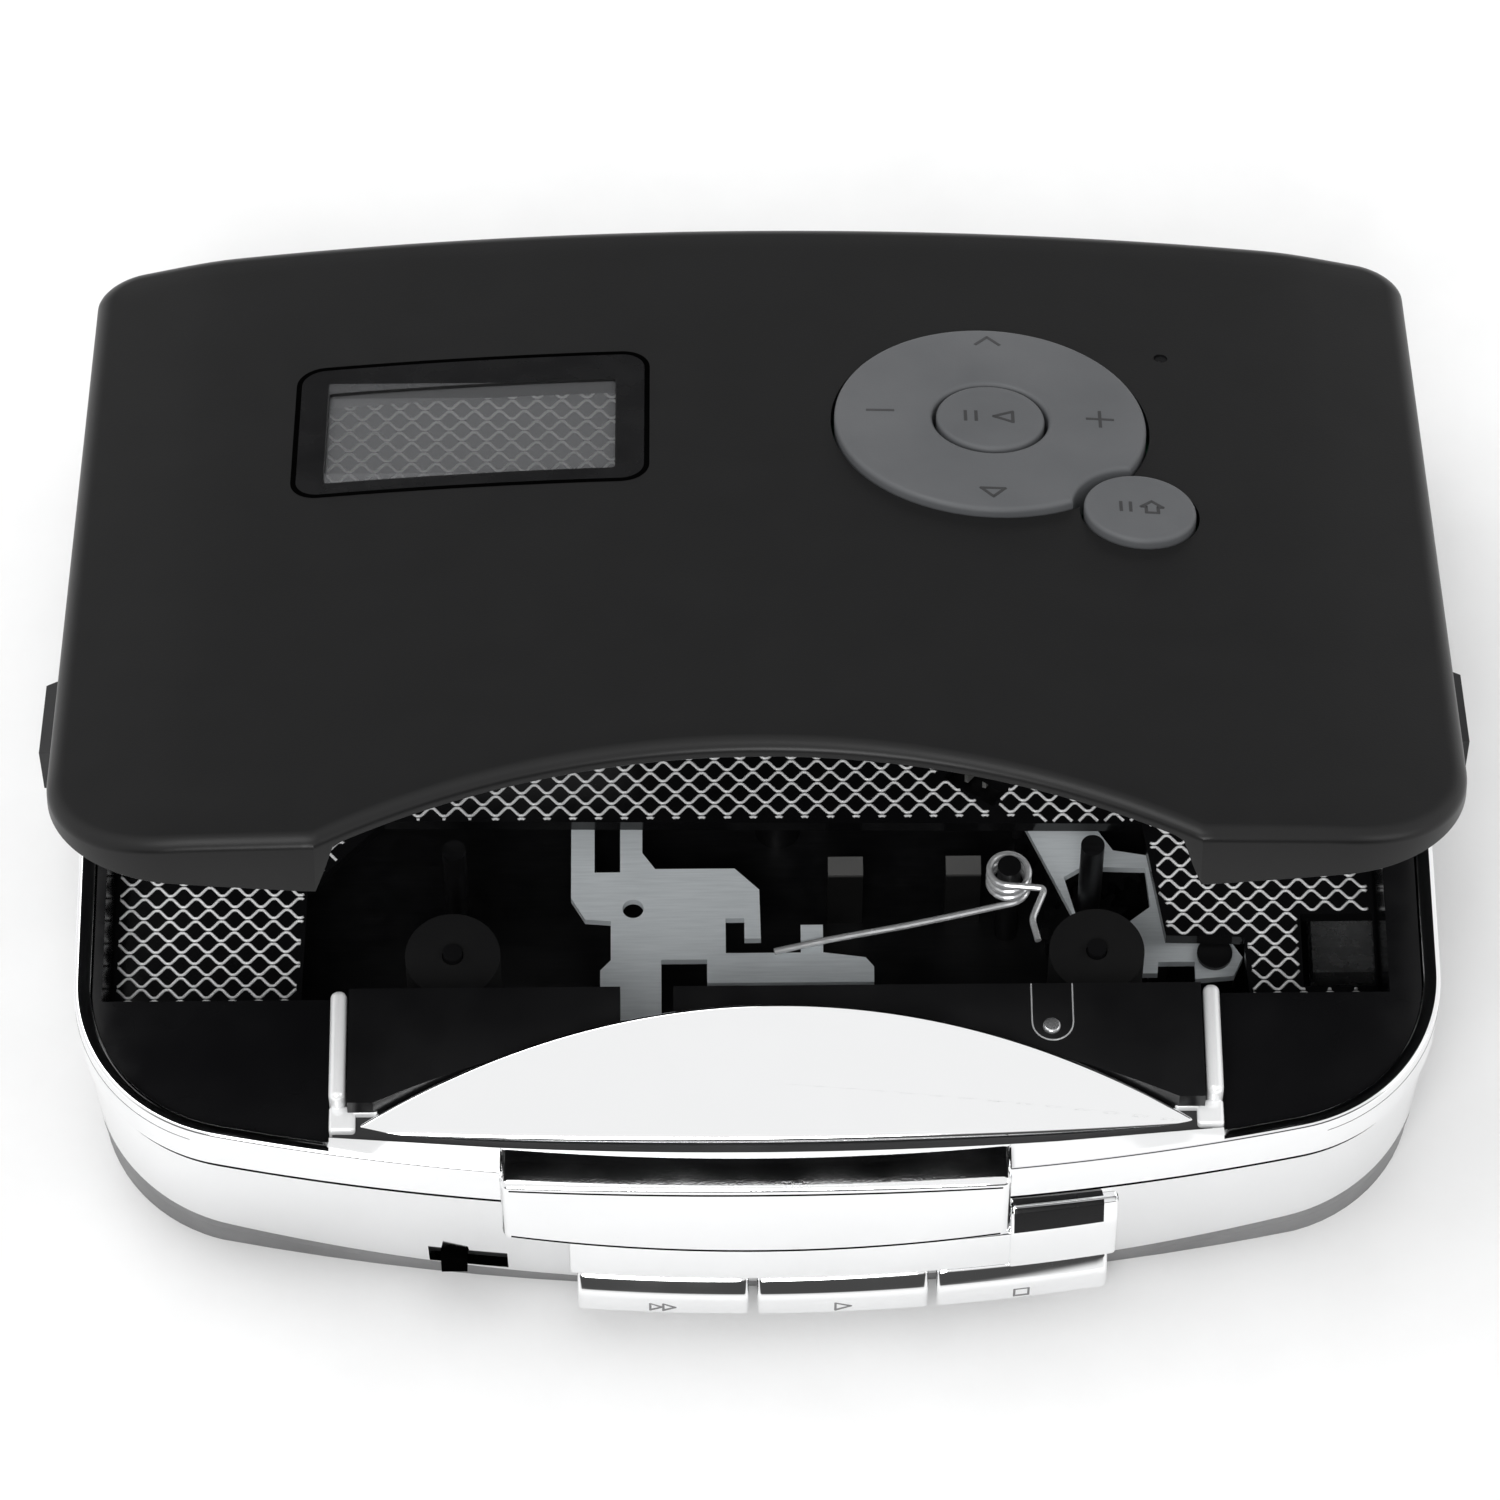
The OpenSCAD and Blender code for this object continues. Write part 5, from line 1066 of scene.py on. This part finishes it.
frame_outer = round_box(FRAME_LOW, FRAME_HIGH, 2.4, 10)
frame_inner = round_box(np.add(FRAME_LOW, FRAME_LINE), np.subtract(FRAME_HIGH, FRAME_LINE), 2.0, 10)
lid_ring("window_line", frame_outer, frame_inner, 0.02, black_and_painted_shade)
window_grid = round_slab(even_loop(window_box(0.05, 0.2, 4)), 31.0, BUTTON_Z, 0.05, 0.05, 1, crowned(-0.3), WINDOW, 8)
put_piece("window_pane", *slab(opened(window_grid)), smoked, "lid", ["lid_window"])
lid_ring("window_field", frame_inner, window_box(0.1, 0.25, 10), 0.01, inlay_black)


# %% Signs
def strokes(pairs, half, low=-0.15, high=0.02):
    """Bars between pairs of points: four corners half a width to each side, at two heights, for all pairs at once."""
    pairs = np.asarray(pairs, float)
    along = unit(pairs[:, 1] - pairs[:, 0])
    side = left_of(along) * half
    first, last = pairs[:, 0] - along * half * 0.7, pairs[:, 1] + along * half * 0.7
    loop = np.stack([first - side, last - side, last + side, first + side], axis=1)
    faces = np.array([[3, 2, 1, 0], [4, 5, 6, 7], [0, 1, 5, 4], [1, 2, 6, 5], [2, 3, 7, 6], [3, 0, 4, 7]])
    return (np.concatenate([lifted(loop, low), lifted(loop, high)], axis=1),
            (faces[None] + 8 * np.arange(len(pairs))[:, None, None]).reshape(-1, 4).tolist())


def polygon(*corners):
    """Pairs of neighbours round a closed sign."""
    return list(zip(corners, corners[1:] + corners[:1]))


SIGNS = {
    "ring_pad": (PAD_RISE, [
        ((19.2, 23.4), (20.2, 24.5)), ((20.2, 24.5), (21.2, 23.4)), ((9.7, 13.3), (11.9, 13.3)),
        ((28.3, 13.0), (30.5, 13.0)), ((29.4, 11.9), (29.4, 14.1)), *polygon((19.0, 2.4), (20.0, 1.2), (21.0, 2.4))]),
    "middle_button": (MIDDLE_RISE, [
        ((18.0, 12.0), (18.0, 13.3)), ((18.9, 12.0), (18.9, 13.3)),
        *polygon((20.4, 12.65), (22.0, 13.4), (22.0, 11.9))]),
    "small_button": (PAD_RISE, [
        ((30.6, 0.0), (30.6, 1.2)), ((31.4, 0.0), (31.4, 1.2)),
        *polygon((32.3, 0.7), (33.2, 1.5), (34.1, 0.7), (33.7, 0.7), (33.7, -0.1), (32.7, -0.1), (32.7, 0.7))]),
}
for button, (rise, pairs) in SIGNS.items():
    corner, faces = strokes(pairs, 0.14)
    corner[..., 2] += crown(corner[..., 0]) + rise
    put_piece(button + "_signs", opened(corner), faces, mark_grey, button, like=button)
KEY_SIGNS = {
    "wind_key": polygon((-9.2, 5.0), (-8.2, 5.6), (-9.2, 6.2)) + polygon((-8.1, 5.0), (-7.1, 5.6), (-8.1, 6.2)),
    "play_key": polygon((6.4, 4.95), (7.7, 5.6), (6.4, 6.25)),
    "stop_key": polygon((21.5, 5.0), (22.7, 5.0), (22.7, 6.2), (21.5, 6.2)),
}
for key, pairs in KEY_SIGNS.items():
    corner, faces = strokes(pairs, 0.1)
    x, z, out = np.moveaxis(corner, -1, 0)
    bars = columns(x, -48.37 + x ** 2 / (2 * KEY_BOW) - out, z)
    put_piece(key + "_sign", bars, faces, base_grey, key, like=key)

# %% [markdown]
# ## Tongue and screw on the seat
# A thin tongue of the spring's holder lies on the black seat, with a small screw and a thin bright wire along its
# edge, which is a painted highlight.

# %% Tongue and screw
tongue_left, tongue_right = (22.7, -29.75), (26.1, -29.75)
tongue_end = arc((24.4, -33.4), 1.7, 180, 360, 13)
tongue = np.concatenate([tongue_end, [tongue_right, tongue_left]])
put_piece("seat_tongue", *slab(round_slab(tongue, SEAT_Z - 0.05, SEAT_Z + 0.1, 0.03, 0.02)), satin_black, "case",
          like="seat_panel")
# A bright wire along the tongue's edge is a painted highlight.
highlight_path = lifted(np.concatenate([[tongue_left], tongue_end, [tongue_right]]), SEAT_Z + 0.08)
highlight_wire = tube(bent_path(highlight_path, 3), 0.07, (0.0, 0.0, 1.0), 6)
put_piece("seat_tongue_edge_highlight", *slab(highlight_wire), spring_wire, "case", like="seat_panel")
screw_head = round_slab(circle((24.3, -33.8), 0.75, 32), SEAT_Z, SEAT_Z + 0.4, 0.25, 0.05)
put_piece("seat_screw_head", *slab(screw_head), bright_steel, "case", like="seat_panel")

# %% [markdown]
# ## Stage
# A sheet of white paper, six metres wide, is the floor of the stage.

# %% Paper
sheet = lifted(rectangle(-3000, -3000, 3000, 3000), 0)
studio_floor = new_object("studio_floor", sheet, [(0, 1, 2, 3)])
paper = moulded("paper", (0.83, 0.83, 0.83), (0.86, 0.86, 0.86), 0.85, 1400.0, 0.01, 0.1)
studio_floor.data.materials.append(paper.mat)
